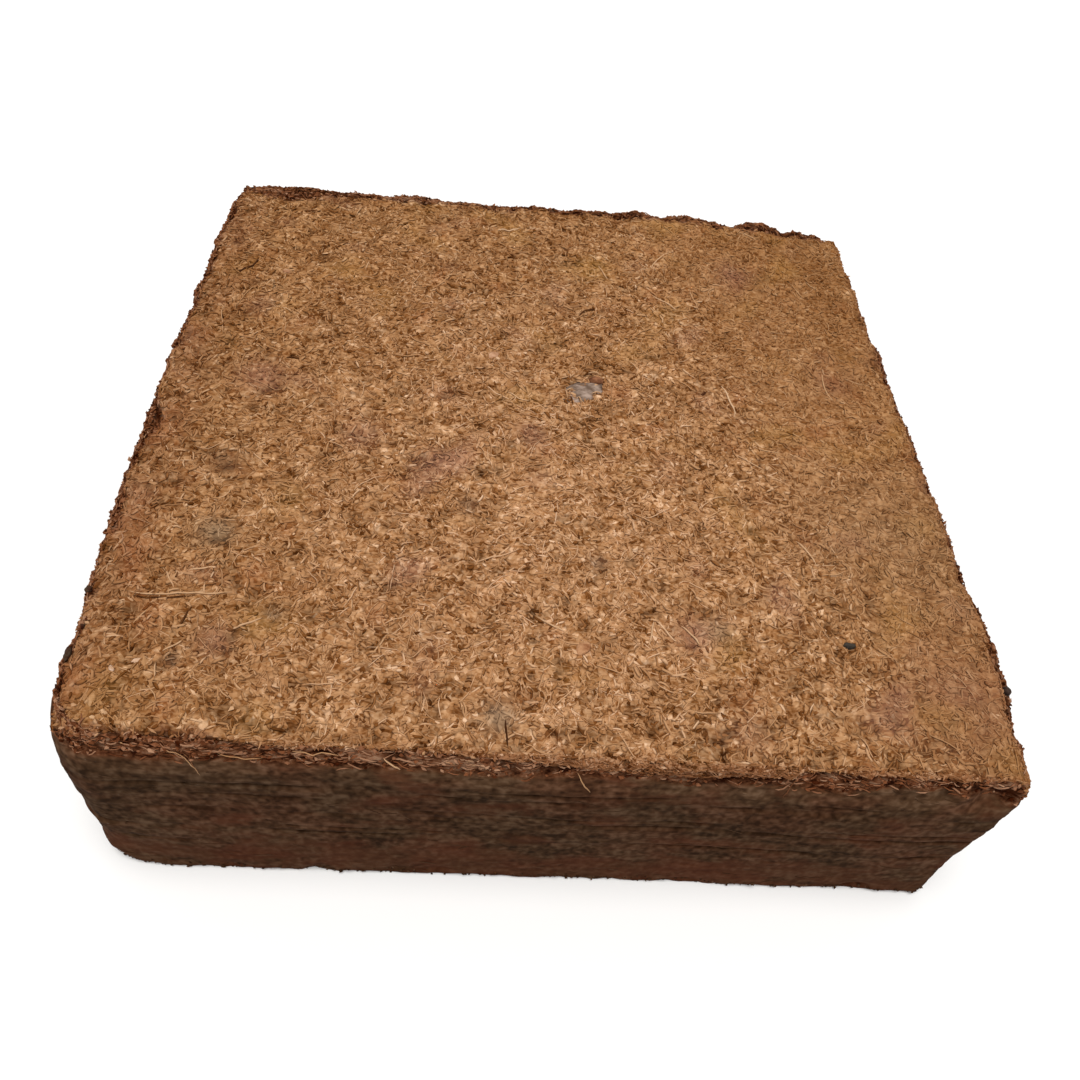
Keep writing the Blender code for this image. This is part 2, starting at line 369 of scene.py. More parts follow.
def rubbed_share(cube):
    """1 on the right of the top, which was rubbed flatter, fading out to the left and towards the edge."""
    slanted = cube[:, 0] + RUBBED_SLANT * cube[:, 1]
    return ramp(slanted, *RUBBED_ZONE) * ramp(-over_edge(cube), 0.0, RUBBED_EDGE)


def crevice_share(cube):
    """1 along the bottom of the crevice where it is open and in the holes, falling off round them; both
    get painted shade.
    """
    past = over_edge(cube) - brow_limit(cube) - CREVICE_DROP
    front = facing(cube)["front"]
    opened = front * along_knots(CREVICE_KNOTS, cube[:, 0]) * 1000 + (1 - front) * CREVICE_ELSEWHERE
    opened = opened * ramp(noise(cube, CREVICE_WAVE, 97), *CREVICE_OPEN)
    share = opened * bell(past / CREVICE_REACH)
    for x, z, reach in POCKETS:
        hole = bell(np.linalg.norm(cube - (x, -HALF, z), axis=1) / reach)
        share = np.maximum(share, POCKET_SHADE * hole)
    return share


def band_matter(cube):
    """The share of loose matter in the torn band: none in the open crevice."""
    return rim_share(cube) * (1 - crevice_share(cube))


# %% [markdown]
# ## Hollows, coarse and fine
#
# The finished surface lies inside the press box by a depth. The coarse part of the depth is the same sum
# that shaped the solid. The fine part is what the solid had no triangles for: clumps of a few millimetres
# and pinholes on the top, flat laminae on the walls, crumbly bites out of the rim, and small pits
# underneath. A last list gives the nicks and knobs by which this bale's outline differs from the plain
# one.


# %% How deep the surface lies
def layer_wander(placed, z):
    """Rise and fall of the layers along the walls: slow noise, faded out at the top and bottom edge."""
    fade = ramp(z, 0, WANDER_FADE) * ramp(HEIGHT - z, 0, WANDER_FADE)
    return LAYER_WANDER * fade * noise(level_with(placed), LAYER_WANDER_LENGTH, 11)


def crack_grooves(placed, z):
    """Depth of the V grooves along the joints that are open."""
    depth = np.zeros(len(z))
    for k, height in enumerate(CRACK_HEIGHTS):
        opened = ramp(noise(level_with(placed), CRACK_LENGTH, 41 + k), *CRACK_OPEN)
        depth += CRACK_DEPTH * opened * np.clip(1 - abs(z - height) / CRACK_HALF_WIDTH, 0, 1)
    return depth


def wall_hollow(placed, z):
    """Rest depth, slow swells, a step from layer to layer, V grooves along joints, chips at the foot."""
    along = level_with(placed)
    depth = WALL_REST + WALL_SWELL * noise(placed, WALL_SWELL_LENGTH, 21) + crack_grooves(placed, z)
    step = LAYER_STEP * noise(along, LAYER_STEP_LENGTH, 30)
    for k, height in enumerate(CRACK_HEIGHTS):
        above = ramp(z, height - CRACK_HALF_WIDTH, height + CRACK_HALF_WIDTH)
        step += above * (LAYER_STEP * noise(along, LAYER_STEP_LENGTH, 31 + k) - step)
    chipped = ramp(noise(placed, CHIP_LENGTH, 51), *CHIP_OPEN)
    return depth + step + CHIP_DEPTH * chipped * bell(z / CHIP_REACH)


def top_hollow(placed):
    """Rest depth with a slow swell and lumps on it."""
    swell = TOP_SWELL * noise(placed, TOP_SWELL_LENGTH, 61)
    return TOP_REST + swell + TOP_LUMP * noise(placed, TOP_LUMP_LENGTH, 62)


def rim_distance(cube):
    """Distance from the top edge of the cube, over the top or down the wall."""
    inset = HALF - np.maximum(abs(cube[:, 0]), abs(cube[:, 1]))
    return np.hypot(inset, HEIGHT - cube[:, 2])


def spots(table, placed):
    """The sum of the depths of a table of x, y, z, reach and depth, each falling off as a bell."""
    depth = np.zeros(len(placed))
    for x, y, z, reach, spot_depth in table:
        depth += spot_depth * bell(np.linalg.norm(placed - (x, y, z), axis=1) / reach)
    return depth


def coarse_hollow(cube, placed, out):
    """The depth that the solid was made with."""
    upwards, sideways = np.clip(out[:, 2], 0, 1) ** 2, out[:, 0] ** 2 + out[:, 1] ** 2
    depth = upwards * top_hollow(placed) + sideways * wall_hollow(placed, cube[:, 2])
    torn = 0.5 + 0.5 * noise(placed, RIM_LENGTH, 71)
    depth += RIM_DEPTH * torn * bell(rim_distance(cube) / RIM_REACH)
    depth += spots(DENTS, placed) * (upwards + sideways)
    return np.maximum(depth, 0)


CLUMP_LENGTH, CLUMP = 0.0085, 0.00085
GRAIN_LENGTH, GRAIN = 0.0045, 0.00065
PIT_LENGTH, PIT = 0.0075, 0.0012
LAMINA_LENGTH, LAMINA, LAMINA_SQUEEZE = 0.0080, 0.00024, 2.4
PIT_OPEN, BITE_OPEN = (0.25, 0.75), (-0.1, 0.7)
# Fine joints: height, and from where to where each shows at the front.
HAIR_CRACKS = {
    0.0235: ((-0.142, -0.110),),
    0.0380: ((-0.086, -0.028),),
    0.0530: ((-0.058, 0.060), (0.092, 0.153)),
    0.0585: ((-0.114, -0.068),),
    0.0705: ((-0.030, 0.044), (0.084, 0.112)),
}
HAIR_CRACK_HALF_WIDTH, HAIR_CRACK_DEPTH, HAIR_CRACK_LENGTH = 0.0008, 0.0010, 0.016
HAIR_CRACK_OPEN = (0.15, 0.50)
# At the front each runs out over this length, and is broken by quicker noise of this length.
HAIR_CRACK_END, HAIR_CRACK_BREAK, HAIR_CRACK_WHOLE = 0.008, 0.007, (-0.9, 0.2)
BITE_LENGTH, BITE, BITE_REACH = 0.0060, 0.0015, 0.011
# How much less torn the right and the left edge are than the others.
RIGHT_WHOLE, LEFT_WHOLE = 0.6, 0.3
CRUMBLE_LENGTH, CRUMBLE = 0.0034, 0.0010
CREVICE_DEPTH, BAND_SINK = 0.0021, 0.0008
RUBBED_FLAT = 0.3
SPRING_BACK = 0.0015
FACING_DOWN = -0.99

# Where this bale's outline leaves the plain one: x, y, z, reach, and depth (below 0 where it stands out).
NICKS = (
    (-0.1530, -0.1130, 0.0910, 0.0085, 0.0028),
    (-0.1530, -0.1300, 0.0915, 0.0080, 0.0010),
    (-0.1530, -0.1058, 0.0920, 0.0040, 0.0010),
    (-0.1530, -0.0925, 0.0920, 0.0040, -0.0015),
    (-0.1530, -0.0750, 0.0915, 0.0150, -0.0015),
    (-0.1530, 0.0150, 0.0920, 0.0450, -0.0012),
    (-0.1530, 0.0520, 0.0920, 0.0050, 0.0014),
    (-0.1530, 0.1020, 0.0920, 0.0060, -0.0012),
    (-0.1530, -0.1420, 0.0920, 0.0100, 0.0010),
    (-0.1480, -0.1480, 0.0720, 0.0200, -0.0012),
    (-0.1470, -0.1480, 0.0160, 0.0150, 0.0024),
    (-0.1530, 0.1440, 0.0920, 0.0080, 0.0036),
    (0.0840, -0.1520, 0.0890, 0.0045, 0.0030),
    (0.0190, 0.1520, 0.0930, 0.0070, -0.0016),
    (0.0310, 0.1520, 0.0930, 0.0040, -0.0018),
    (0.0460, 0.1520, 0.0930, 0.0065, -0.0026),
    (0.0744, 0.1530, 0.0920, 0.0130, -0.0028),
    (0.1020, 0.1520, 0.0930, 0.0060, -0.0016),
    (0.1115, 0.1530, 0.0920, 0.0080, -0.0028),
    (0.1297, 0.1500, 0.0920, 0.0070, -0.0020),
    (0.1530, 0.0950, 0.0920, 0.0250, -0.0014),
    (0.1530, -0.0150, 0.0920, 0.0400, -0.0020),
    (0.1530, -0.0750, 0.0920, 0.0060, 0.0010),
    (0.1530, -0.0875, 0.0920, 0.0060, -0.0012),
    (0.1530, -0.0980, 0.0920, 0.0170, -0.0028),
    (0.1530, -0.1490, 0.0925, 0.0080, 0.0034),
    (0.1500, 0.1480, 0.0920, 0.0120, -0.0012),
    (0.1530, -0.1530, 0.0300, 0.0200, 0.0013),
    (0.1350, -0.1530, 0.0845, 0.0070, -0.0030),
    (0.1440, -0.1530, 0.0850, 0.0050, -0.0016),
    (-0.1530, -0.0450, 0.0920, 0.0080, -0.0010),
)
# The front left foot is worn away: how far, how wide round the corner, and up to what height.
FOOT_WEAR, FOOT_WEAR_REACH, FOOT_WEAR_TOP = 0.0040, 0.012, 0.009


def hair_grooves(cube, placed):
    """Share of the fine joints' depth: open between their ends at the front, and by chance elsewhere."""
    front, x = facing(cube)["front"], cube[:, 0]
    share = np.zeros(len(cube))
    for k, (height, stretches) in enumerate(HAIR_CRACKS.items()):
        by_chance = ramp(noise(level_with(placed), HAIR_CRACK_LENGTH, 401 + k), *HAIR_CRACK_OPEN)
        opened = (1 - front) * by_chance
        unbroken = ramp(noise(level_with(placed), HAIR_CRACK_BREAK, 421 + k), *HAIR_CRACK_WHOLE)
        for low, high in stretches:
            begun, ended = ramp(x, low, low + HAIR_CRACK_END), ramp(x, high - HAIR_CRACK_END, high)
            opened = opened + front * (begun * (1 - ended)) * unbroken
        share += opened * np.clip(1 - abs(cube[:, 2] - height) / HAIR_CRACK_HALF_WIDTH, 0, 1)
    return share


def foot_wear(cube):
    """How far the worn front left foot is set in, towards the middle of the block."""
    away = np.hypot(cube[:, 0] + HALF, cube[:, 1] + HALF)
    return FOOT_WEAR * bell(away / FOOT_WEAR_REACH) * (1 - ramp(cube[:, 2], 0, FOOT_WEAR_TOP))


def fine_hollow(cube, placed, out):
    """Depth added to the coarse one: clumps and pits on flat faces, laminae on walls, the torn rim."""
    flat, sideways = out[:, 2] ** 2, out[:, 0] ** 2 + out[:, 1] ** 2
    clumps = CLUMP * noise(placed, CLUMP_LENGTH, 81) + GRAIN * noise(placed, GRAIN_LENGTH, 82)
    pits = PIT * ramp(noise(placed, PIT_LENGTH, 83), *PIT_OPEN)
    squeezed = placed * (1, 1, LAMINA_SQUEEZE)
    laminae = LAMINA * (noise(squeezed, LAMINA_LENGTH, 84) + 0.6 * noise(squeezed, LAMINA_LENGTH / 2, 85))
    laminae = laminae + HAIR_CRACK_DEPTH * hair_grooves(cube, placed)
    sides = facing(cube)
    near_rim = bell(rim_distance(cube) / BITE_REACH)
    near_rim = near_rim * (1 - RIGHT_WHOLE * sides["right"] - LEFT_WHOLE * sides["left"])
    bites = BITE * ramp(noise(placed, BITE_LENGTH, 86), *BITE_OPEN)
    bites = bites + CRUMBLE * noise(placed, CRUMBLE_LENGTH, 87)
    torn = CREVICE_DEPTH * crevice_share(cube) + BAND_SINK * rim_share(cube)
    rubbed = 1 - RUBBED_FLAT * rubbed_share(cube)
    return flat * rubbed * (clumps + pits) + sideways * laminae + near_rim * bites + torn


def skin(cube, lift=0.0):
    """Finished places of cube points, raised by lift, with the outward direction and the fine depth."""
    placed, out = pressed(cube)
    fine = fine_hollow(cube, placed, out)
    under = out[:, 2] < FACING_DOWN
    depth = coarse_hollow(cube, placed, out) + spots(NICKS, placed) * ~under
    depth = depth + np.where(under, np.maximum(fine, 0), fine)
    depth = np.maximum(depth, np.where(under, 0, -SPRING_BACK))
    spot = placed - out * (depth - lift)[:, None]
    spot[:, :2] += foot_wear(cube)[:, None] * math.sqrt(0.5)
    spot[:, 2] += (out[:, 0] ** 2 + out[:, 1] ** 2) * layer_wander(placed, cube[:, 2])
    spot[:, 2] = np.maximum(spot[:, 2], 0)
    return spot, out, fine


# %% [markdown]
# ## Putting arrays into meshes
#
# Every piece is worked out as whole arrays of points and corners. One helper hands them to Blender, with
# any values that belong to the points, such as how dark a fibre is, and with a flat map for pieces that
# need one. It rides the piece on the bale's only body, so nothing can be forgotten.


# %% One way into the mesh
def bale_piece(name, points, faces, material, values=(), flat_map=None, smooth=True):
    """A mesh object from an (n, 3) array of points and an (m, k) array of corners."""
    mesh = bpy.data.meshes.new(name)
    count, sides = faces.shape
    mesh.vertices.add(len(points))
    mesh.vertices.foreach_set("co", np.ascontiguousarray(points, np.float32).ravel())
    mesh.loops.add(count * sides)
    mesh.loops.foreach_set("vertex_index", np.ascontiguousarray(faces, np.int32).ravel())
    mesh.polygons.add(count)
    mesh.polygons.foreach_set("loop_start", np.arange(0, count * sides, sides, dtype=np.int32))
    mesh.polygons.foreach_set("use_smooth", np.full(count, smooth))
    mesh.update(calc_edges=True)
    for value_name, numbers in dict(values).items():
        layer = mesh.attributes.new(value_name, "FLOAT", "POINT")
        layer.data.foreach_set("value", np.ascontiguousarray(numbers, np.float32))
    if flat_map is not None:
        layer = mesh.uv_layers.new(name="OFBake")
        layer.uv.foreach_set("vector", np.ascontiguousarray(flat_map, np.float32).ravel())
    mesh.materials.append(material)
    piece = bpy.data.objects.new(name, mesh)
    bpy.context.scene.collection.objects.link(piece)
    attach(piece, "root")
    tally[name] = count * (sides - 2)
    print(f"{name}: {len(points)} points, {tally[name]} triangles")
    return piece


tally = {}

# %% [markdown]
# ## Shader sums as Python
#
# A finish is easier to read as a sum than as a web of boxes. A wire is one socket of a node tree, and
# adding or multiplying wires adds the Math nodes. All other nodes come from one method, which sets the
# node's settings before its sockets.


# %% Wires and finishes
class Wire:
    """An output socket that takes part in sums."""

    def __init__(self, finish, socket):
        self.finish = finish
        self.socket = socket

    def math(self, operation, first, second=None):
        inputs = {0: first} if second is None else {0: first, 1: second}
        return self.finish.node("ShaderNodeMath", {"operation": operation}, inputs)

    def __add__(self, other):
        return self.math("ADD", self, other)

    def __sub__(self, other):
        return self.math("SUBTRACT", self, other)

    def __rsub__(self, other):
        return self.math("SUBTRACT", other, self)

    def __mul__(self, other):
        return self.math("MULTIPLY", self, other)

    __radd__ = __add__
    __rmul__ = __mul__

    def most(self, other):
        return self.math("MAXIMUM", self, other)

    def absolute(self):
        return self.math("ABSOLUTE", self)

    def step(self, low, high, to_low=0.0, to_high=1.0):
        """A smooth step from to_low at low to to_high at high."""
        inputs = {"Value": self, "From Min": low, "From Max": high, "To Min": to_low, "To Max": to_high}
        return self.finish.node("ShaderNodeMapRange", {"interpolation_type": "SMOOTHSTEP"}, inputs)


class Finish:
    """A material and the nodes that feed its one surface shader."""

    def __init__(self, name, roughness, shine):
        self.material = bpy.data.materials.new(name)
        self.material.use_nodes = True
        self.tree = self.material.node_tree
        self.shader = self.tree.nodes["Principled BSDF"]
        self.shader.inputs["Roughness"].default_value = roughness
        self.shader.inputs["Specular IOR Level"].default_value = shine

    def put(self, socket, value):
        """Links a wire to the socket or sets a constant; a colour of three numbers gets an alpha of 1."""
        if isinstance(value, Wire):
            self.tree.links.new(value.socket, socket)
        else:
            wants_alpha = socket.type == "RGBA" and len(value) == 3
            socket.default_value = (*value, 1.0) if wants_alpha else value

    def node(self, kind, settings, inputs, output=0):
        """Adds a node with its settings and its inputs, by name or number, and gives one output wire."""
        made = self.tree.nodes.new(kind)
        for key, value in settings.items():
            if key == "stops":
                self.set_stops(made.color_ramp, value)
            else:
                setattr(made, key, value)
        for key, value in inputs.items():
            self.put(made.inputs[key], value)
        return Wire(self, made.outputs[output])

    def set_stops(self, ramp_setting, stops):
        elements = ramp_setting.elements
        while len(elements) < len(stops):
            elements.new(1.0)
        for element, (place, colour) in zip(elements, stops):
            element.position = place
            element.color = (*colour, 1.0)

    def place(self):
        return self.node("ShaderNodeTexCoord", {}, {}, "Object")

    def value(self, name):
        return self.node("ShaderNodeAttribute", {"attribute_name": name}, {}, "Fac")

    def turned(self, place, turn=(0, 0, 0), scale=(1, 1, 1)):
        return self.node("ShaderNodeMapping", {}, {"Vector": place, "Rotation": turn, "Scale": scale})

    def levelled(self, place, across, scale, detail, roughness, height=1.0):
        """A cloud drawn out sideways where across is under 1, and in height where height is."""
        return self.cloud(self.turned(place, scale=(across, across, height)), scale, detail, roughness)

    def cloud(self, place, scale, detail=2.0, roughness=0.5, output="Fac"):
        inputs = {"Vector": place, "Scale": scale, "Detail": detail, "Roughness": roughness}
        return self.node("ShaderNodeTexNoise", {}, inputs, output)

    def cells(self, place, scale, output):
        return self.node("ShaderNodeTexVoronoi", {}, {"Vector": place, "Scale": scale}, output)

    def bent(self, place, scale, amount):
        """A place pushed about by a colour noise, so that straight streaks bend."""
        drift = self.cloud(place, scale, 1.0, output="Color")
        scaled = self.dim(self.vector("SUBTRACT", drift, (0.5, 0.5, 0.5)), amount)
        return self.vector("ADD", place, scaled)

    def shades(self, share, stops):
        return self.node("ShaderNodeValToRGB", {"stops": stops}, {"Fac": share}, "Color")

    def mix(self, share, first, second):
        """first where share is 0 and second where it is 1."""
        return self.node("ShaderNodeMix", {"data_type": "RGBA"}, {0: share, 6: first, 7: second}, 2)

    def dim(self, colour, share):
        """A colour times a number."""
        return self.node("ShaderNodeVectorMath", {"operation": "SCALE"}, {0: colour, "Scale": share})

    def vector(self, operation, first, second):
        return self.node("ShaderNodeVectorMath", {"operation": operation}, {0: first, 1: second})

    def dyed(self, colour, dye):
        """A colour times a colour."""
        return self.vector("MULTIPLY", colour, dye)

    def bump(self, height, strength, distance):
        inputs = {"Height": height, "Strength": strength, "Distance": distance}
        return self.node("ShaderNodeBump", {}, inputs, "Normal")

    def wear(self, colour, normal=None):
        """Feeds the shader and gives the finished material."""
        self.put(self.shader.inputs["Base Color"], colour)
        if normal is not None:
            self.put(self.shader.inputs["Normal"], normal)
        return self.material


# %% [markdown]
# ## The colours of coir
#
# Loosened pith on the top is a warm tan that goes from a dark brown, also painted as shade in its gaps, to
# pale straw on single flecks. The walls were rubbed by the steel box, so their pith is dark, almost
# chocolate, and grained sideways; their colours are set darker still, as painted shade for walls that
# face away from the high lamp. Along the torn rim the inner pith shows, reddish and dark. The numbers are
# linear reflectances.

# %% Palette
# The darkest brown, also painted as the shade of gaps, hollows and pits.
DARK_BROWN_AND_SHADE = (0.050, 0.014, 0.002)
UMBER = (0.165, 0.059, 0.014)
PITH = (0.300, 0.138, 0.051)
TAN = (0.450, 0.248, 0.118)
STRAW = (0.650, 0.425, 0.256)
RUST = (0.300, 0.100, 0.036)
PLUM = (0.270, 0.128, 0.090)
GOLD = (0.420, 0.225, 0.060)
ASH = (0.260, 0.185, 0.115)
SOOT = (0.090, 0.056, 0.040)
# Painted pool of light: the middle of the top paler, its edges darker and browner.
POOL_MIDDLE_LIGHT = (1.18, 1.19, 1.26)
POOL_EDGE_SHADE_AND_BROWN = (0.90, 0.84, 0.74)
RIM_DARK = (0.036, 0.0062, 0.0007)
RIM_MID = (0.205, 0.072, 0.029)
RIM_PALE = (0.400, 0.222, 0.132)
# The wall colours are the dark pith and, in part, painted shade of walls that face away from the lamp.
WALL_DARK = (0.024, 0.0105, 0.0045)
WALL_MID = (0.0590, 0.0285, 0.0140)
WALL_PALE = (0.112, 0.062, 0.036)
WALL_RUST = (0.084, 0.027, 0.012)
WALL_RED_DYE = (1.08, 0.95, 0.91)
WALL_OLIVE_DYE = (0.97, 1.00, 0.97)
CRACK_BLACK = (0.012, 0.006, 0.003)
CREVICE_SHADE = (0.036, 0.0062, 0.0007)

# %% [markdown]
# ## Slow changes of hue
#
# The heap that went into the press was never mixed well, so the top has patches of a centimetre or two
# that are plum, golden, rusty, ashen or nearly black. Some are there by chance, from a slow noise, and
# some are listed where they show on this very bale. All of them are values on the points, worked out
# from the place alone, so the skin, the crumbs and the fibres on one patch change hue together.

# %% Hues by place
# Chance patches of each hue: length, seed, and the noise values where it starts and is full.
HUE_CHANCE = {
    "plum": (0.022, 301, 0.30, 1.1),
    "gold": (0.026, 302, 0.20, 1.0),
    "rust": (0.015, 303, 0.35, 1.1),
    "ash": (0.013, 304, 0.80, 1.5),
    "soot": (0.0065, 305, 0.90, 1.6),
    "umber": (0.030, 306, 0.30, 1.3),
}
# Patches of this bale: x, y, reach and strength.
HUE_SPOTS = {
    "plum": (
        (-0.1134, 0.0077, 0.0095, 0.9),
        (-0.0720, -0.0200, 0.0080, 0.6),
        (0.1220, 0.0330, 0.0090, 0.7),
        (0.0920, 0.1034, 0.0110, 0.8),
        (0.0480, -0.1030, 0.0070, 0.8),
        (0.1350, -0.1250, 0.0200, 0.7),
        (-0.1053, -0.1161, 0.0060, 0.8),
    ),
    "gold": (
        (0.0214, 0.1002, 0.0090, 0.9),
        (-0.1370, -0.1340, 0.0080, 0.55),
        (0.1450, -0.1440, 0.0080, 0.5),
        (-0.0935, -0.1085, 0.0070, 0.7),
    ),
    "rust": (
        (-0.1450, -0.1300, 0.0070, 0.9),
        (-0.1440, -0.0210, 0.0090, 0.8),
        (-0.1440, -0.0700, 0.0085, 0.8),
        (-0.0980, -0.0890, 0.0050, 0.7),
    ),
    "ash": (
        (-0.1145, -0.0723, 0.0060, 0.9),
        (-0.0171, -0.1371, 0.0050, 0.9),
        (0.0560, -0.1010, 0.0050, 0.6),
        (0.1320, -0.0550, 0.0350, 0.3),
    ),
    "soot": (
        (-0.1186, -0.0396, 0.0062, 0.6),
        (0.0166, -0.0753, 0.0040, 0.7),
        (-0.0296, -0.0516, 0.0035, 0.7),
        (-0.1167, -0.1238, 0.0026, 0.9),
        (-0.0901, -0.1044, 0.0036, 0.7),
    ),
    "umber": (
        (0.1330, 0.1280, 0.0260, 0.8),
        (0.1300, 0.0600, 0.0500, 0.35),
        (-0.0710, 0.0710, 0.0240, 0.5),
        (-0.0300, 0.0300, 0.0260, 0.4),
        (-0.1250, 0.0250, 0.0200, 0.5),
    ),
}
HUE_COLOURS = {"plum": PLUM, "gold": GOLD, "rust": RUST, "ash": ASH, "soot": SOOT, "umber": UMBER}
HUE_STRENGTH = {"plum": 0.54, "gold": 0.38, "rust": 0.48, "ash": 0.66, "soot": 0.65, "umber": 0.25}
# The painted pool of light on the top: its middle, and its reach across and back.
LIGHT_POOL_MIDDLE, LIGHT_POOL_REACH = (0.000, -0.075), (0.125, 0.200)


def hues(cube):
    """The share of each hue at each point, and how close it is to the painted pool of light and to the
    torn edge.

    A hue is the sum of its chance patches and a bell round each of its spots. A painted pool of light
    makes the top palest in front of its middle, and a bell with two reaches says how close a point is to
    there.
    """
    x, y, _ = cube.T
    shares = {}
    for hue, (length, seed, start, full) in HUE_CHANCE.items():
        share = ramp(noise(cube, length, seed), start, full)
        for spot_x, spot_y, reach, strength in HUE_SPOTS[hue]:
            share = share + strength * bell(np.hypot(x - spot_x, y - spot_y) / reach)
        shares[hue] = np.clip(share, 0, 1)
    (middle_x, middle_y), (reach_x, reach_y) = LIGHT_POOL_MIDDLE, LIGHT_POOL_REACH
    shares["pale"] = bell(np.hypot((x - middle_x) / reach_x, (y - middle_y) / reach_y))
    shares["torn"] = torn_share(cube)
    return shares


def hued(finish, colour):
    """The colour with each hue's patches mixed in, and a painted pool of light: paler middle, darker
    browner edges.
    """
    for hue, tone in HUE_COLOURS.items():
        colour = finish.mix(finish.value(hue) * HUE_STRENGTH[hue], colour, tone)
    return finish.dyed(colour, finish.mix(finish.value("pale"), POOL_EDGE_SHADE_AND_BROWN, POOL_MIDDLE_LIGHT))


# %% [markdown]
# ## The finish of the block
#
# Between the modelled crumbs and fibres the block itself shows, so its finish carries the same grain at
# the same scale. Small random cells give the granules, dark lines of painted shade between them the gaps,
# and noise that is stretched along five directions and bent a little gives the short fibres pressed into
# the top. On the walls the noise is squeezed in height instead, which draws the sideways laminae on all
# four walls at once. The mesh says, in values on its points, where a wall, the rim or a pit is, and pits
# and the crevice get painted shade.


# %% Block finish
TOP_STOPS = ((0.0, DARK_BROWN_AND_SHADE), (0.24, UMBER), (0.47, PITH), (0.72, TAN), (0.98, STRAW))
WALL_FELT_STOPS = ((0.08, WALL_DARK), (0.5, WALL_MID), (0.98, WALL_PALE))
TORN_STOPS = ((0.14, RIM_DARK), (0.5, RIM_MID), (0.95, RIM_PALE))
# Noise scales are waves a metre: 520 is a wave of about 2 mm.
GRANULE_SCALE, FINE_SCALE, CLUMP_SCALE = 520.0, 760.0, 240.0
STREAK_TURNS_AND_SCALES = ((0.2, 1000.0), (0.85, 910.0), (1.45, 820.0), (2.05, 730.0), (2.75, 640.0))
FELT_SCALE, LAMINA_SCALE, CLOUDY_SCALE = 380.0, 330.0, 55.0
RUST_SCALE, REDDISH_SCALE, JOINT_SCALE = 42.0, 34.0, 300.0
TORN_LEVEL_SCALE, TORN_LUMP_SCALE = 760.0, 380.0
# How places are pushed about before the noises are read there: scale of the pushes, and how far.
BEND, WALL_BEND = (160.0, 0.004), (120.0, 0.002)
# How much calmer the rubbed part of the top is, and how much paler the shoulder of the wall is.
CALM = 0.30
SHOULDER_LIGHT = 0.47


def top_colour(finish, place, bent):
    """Granules, gaps with painted shade, and short streaks, in hues that change from place to place."""
    granule = finish.cells(bent, GRANULE_SCALE, "Color")
    apart = finish.cells(bent, GRANULE_SCALE, "Distance")
    fine = finish.cloud(place, FINE_SCALE)
    clump = finish.cloud(place, CLUMP_SCALE, 3.0, 0.6)
    unrubbed = 1.0 - finish.value("rubbed") * CALM
    tone = (granule - 0.5) * 0.72 + (fine - 0.5) * 0.6 + (clump - 0.5) * 1.1
    tone = tone * unrubbed + finish.value("tone") + 0.5
    colour = finish.shades(tone, TOP_STOPS)
    streaks = None
    for turn, scale in STREAK_TURNS_AND_SCALES:
        along = finish.turned(bent, (0.0, 0.0, turn), (0.16, 1.0, 1.0))
        streak = finish.cloud(along, scale, 1.0, 0.4).step(0.60, 0.68)
        streaks = streak if streaks is None else streaks.most(streak)
    colour = finish.mix(streaks * 0.5, colour, TAN)
    # Painted shade: dark lines along the gaps between granules, which the bump also sinks.
    gap_shade_and_groove = apart.step(0.50, 0.85) * unrubbed
    colour = finish.mix(gap_shade_and_groove * 0.45, colour, DARK_BROWN_AND_SHADE)
    colour = hued(finish, colour)
    height = (granule - 0.5) * 0.5 + (fine - 0.5) * 0.4 + streaks * 0.3 - gap_shade_and_groove * 0.5
    return colour, height


def wall_colour(finish, place, bent):
    """A felt of short level mottles with rust patches and hairline joints, paler under the torn band."""
    fine = finish.levelled(bent, 1.10, FELT_SCALE, 1.0, 0.4)
    coarse = finish.levelled(bent, 0.15, LAMINA_SCALE, 1.0, 0.5)
    cloudy = finish.cloud(place, CLOUDY_SCALE, 3.0, 0.6)
    tone = (fine - 0.5) * 1.5 + (coarse - 0.5) * 0.75 + (cloudy - 0.5) * 0.7 + 0.5
    colour = finish.shades(tone, WALL_FELT_STOPS)
    rusty = finish.cloud(finish.turned(place, (0.3, 0.5, 0.1), (1.0, 1.0, 1.8)), RUST_SCALE, 3.0, 0.6)
    rust = (rusty + finish.value("foot") * 0.19).step(0.50, 0.70)
    colour = finish.mix(rust * 0.50, colour, WALL_RUST)
    reddish = finish.levelled(place, 1.0, REDDISH_SCALE, 2.0, 0.5, height=1.5).step(0.40, 0.62)
    colour = finish.dyed(colour, finish.mix(reddish, WALL_OLIVE_DYE, WALL_RED_DYE))
    level = finish.levelled(place, 0.14, JOINT_SCALE, 1.0, 0.4) - 0.5
    joint = level.absolute().step(0.012, 0.0) * coarse.step(0.50, 0.62)
    colour = finish.mix(joint * 0.4, colour, CRACK_BLACK)
    colour = finish.dim(colour, finish.value("shoulder") * SHOULDER_LIGHT + 1.0)
    return colour, (fine - 0.5) * 0.6 + (coarse - 0.5) * 0.9 - joint * 0.8


def rim_colour(finish, place, bent):
    """Dark torn pith with level streaks of lighter fibre."""
    level = finish.levelled(bent, 0.25, TORN_LEVEL_SCALE, 2.0, 0.6)
    lump = finish.cloud(place, TORN_LUMP_SCALE, 3.0, 0.65)
    tone = (level - 0.5) * 1.9 + (lump - 0.5) * 1.7 + finish.value("tone") + 0.50
    colour = finish.shades(tone, TORN_STOPS)
    return colour, (level - 0.5) + (lump - 0.5)


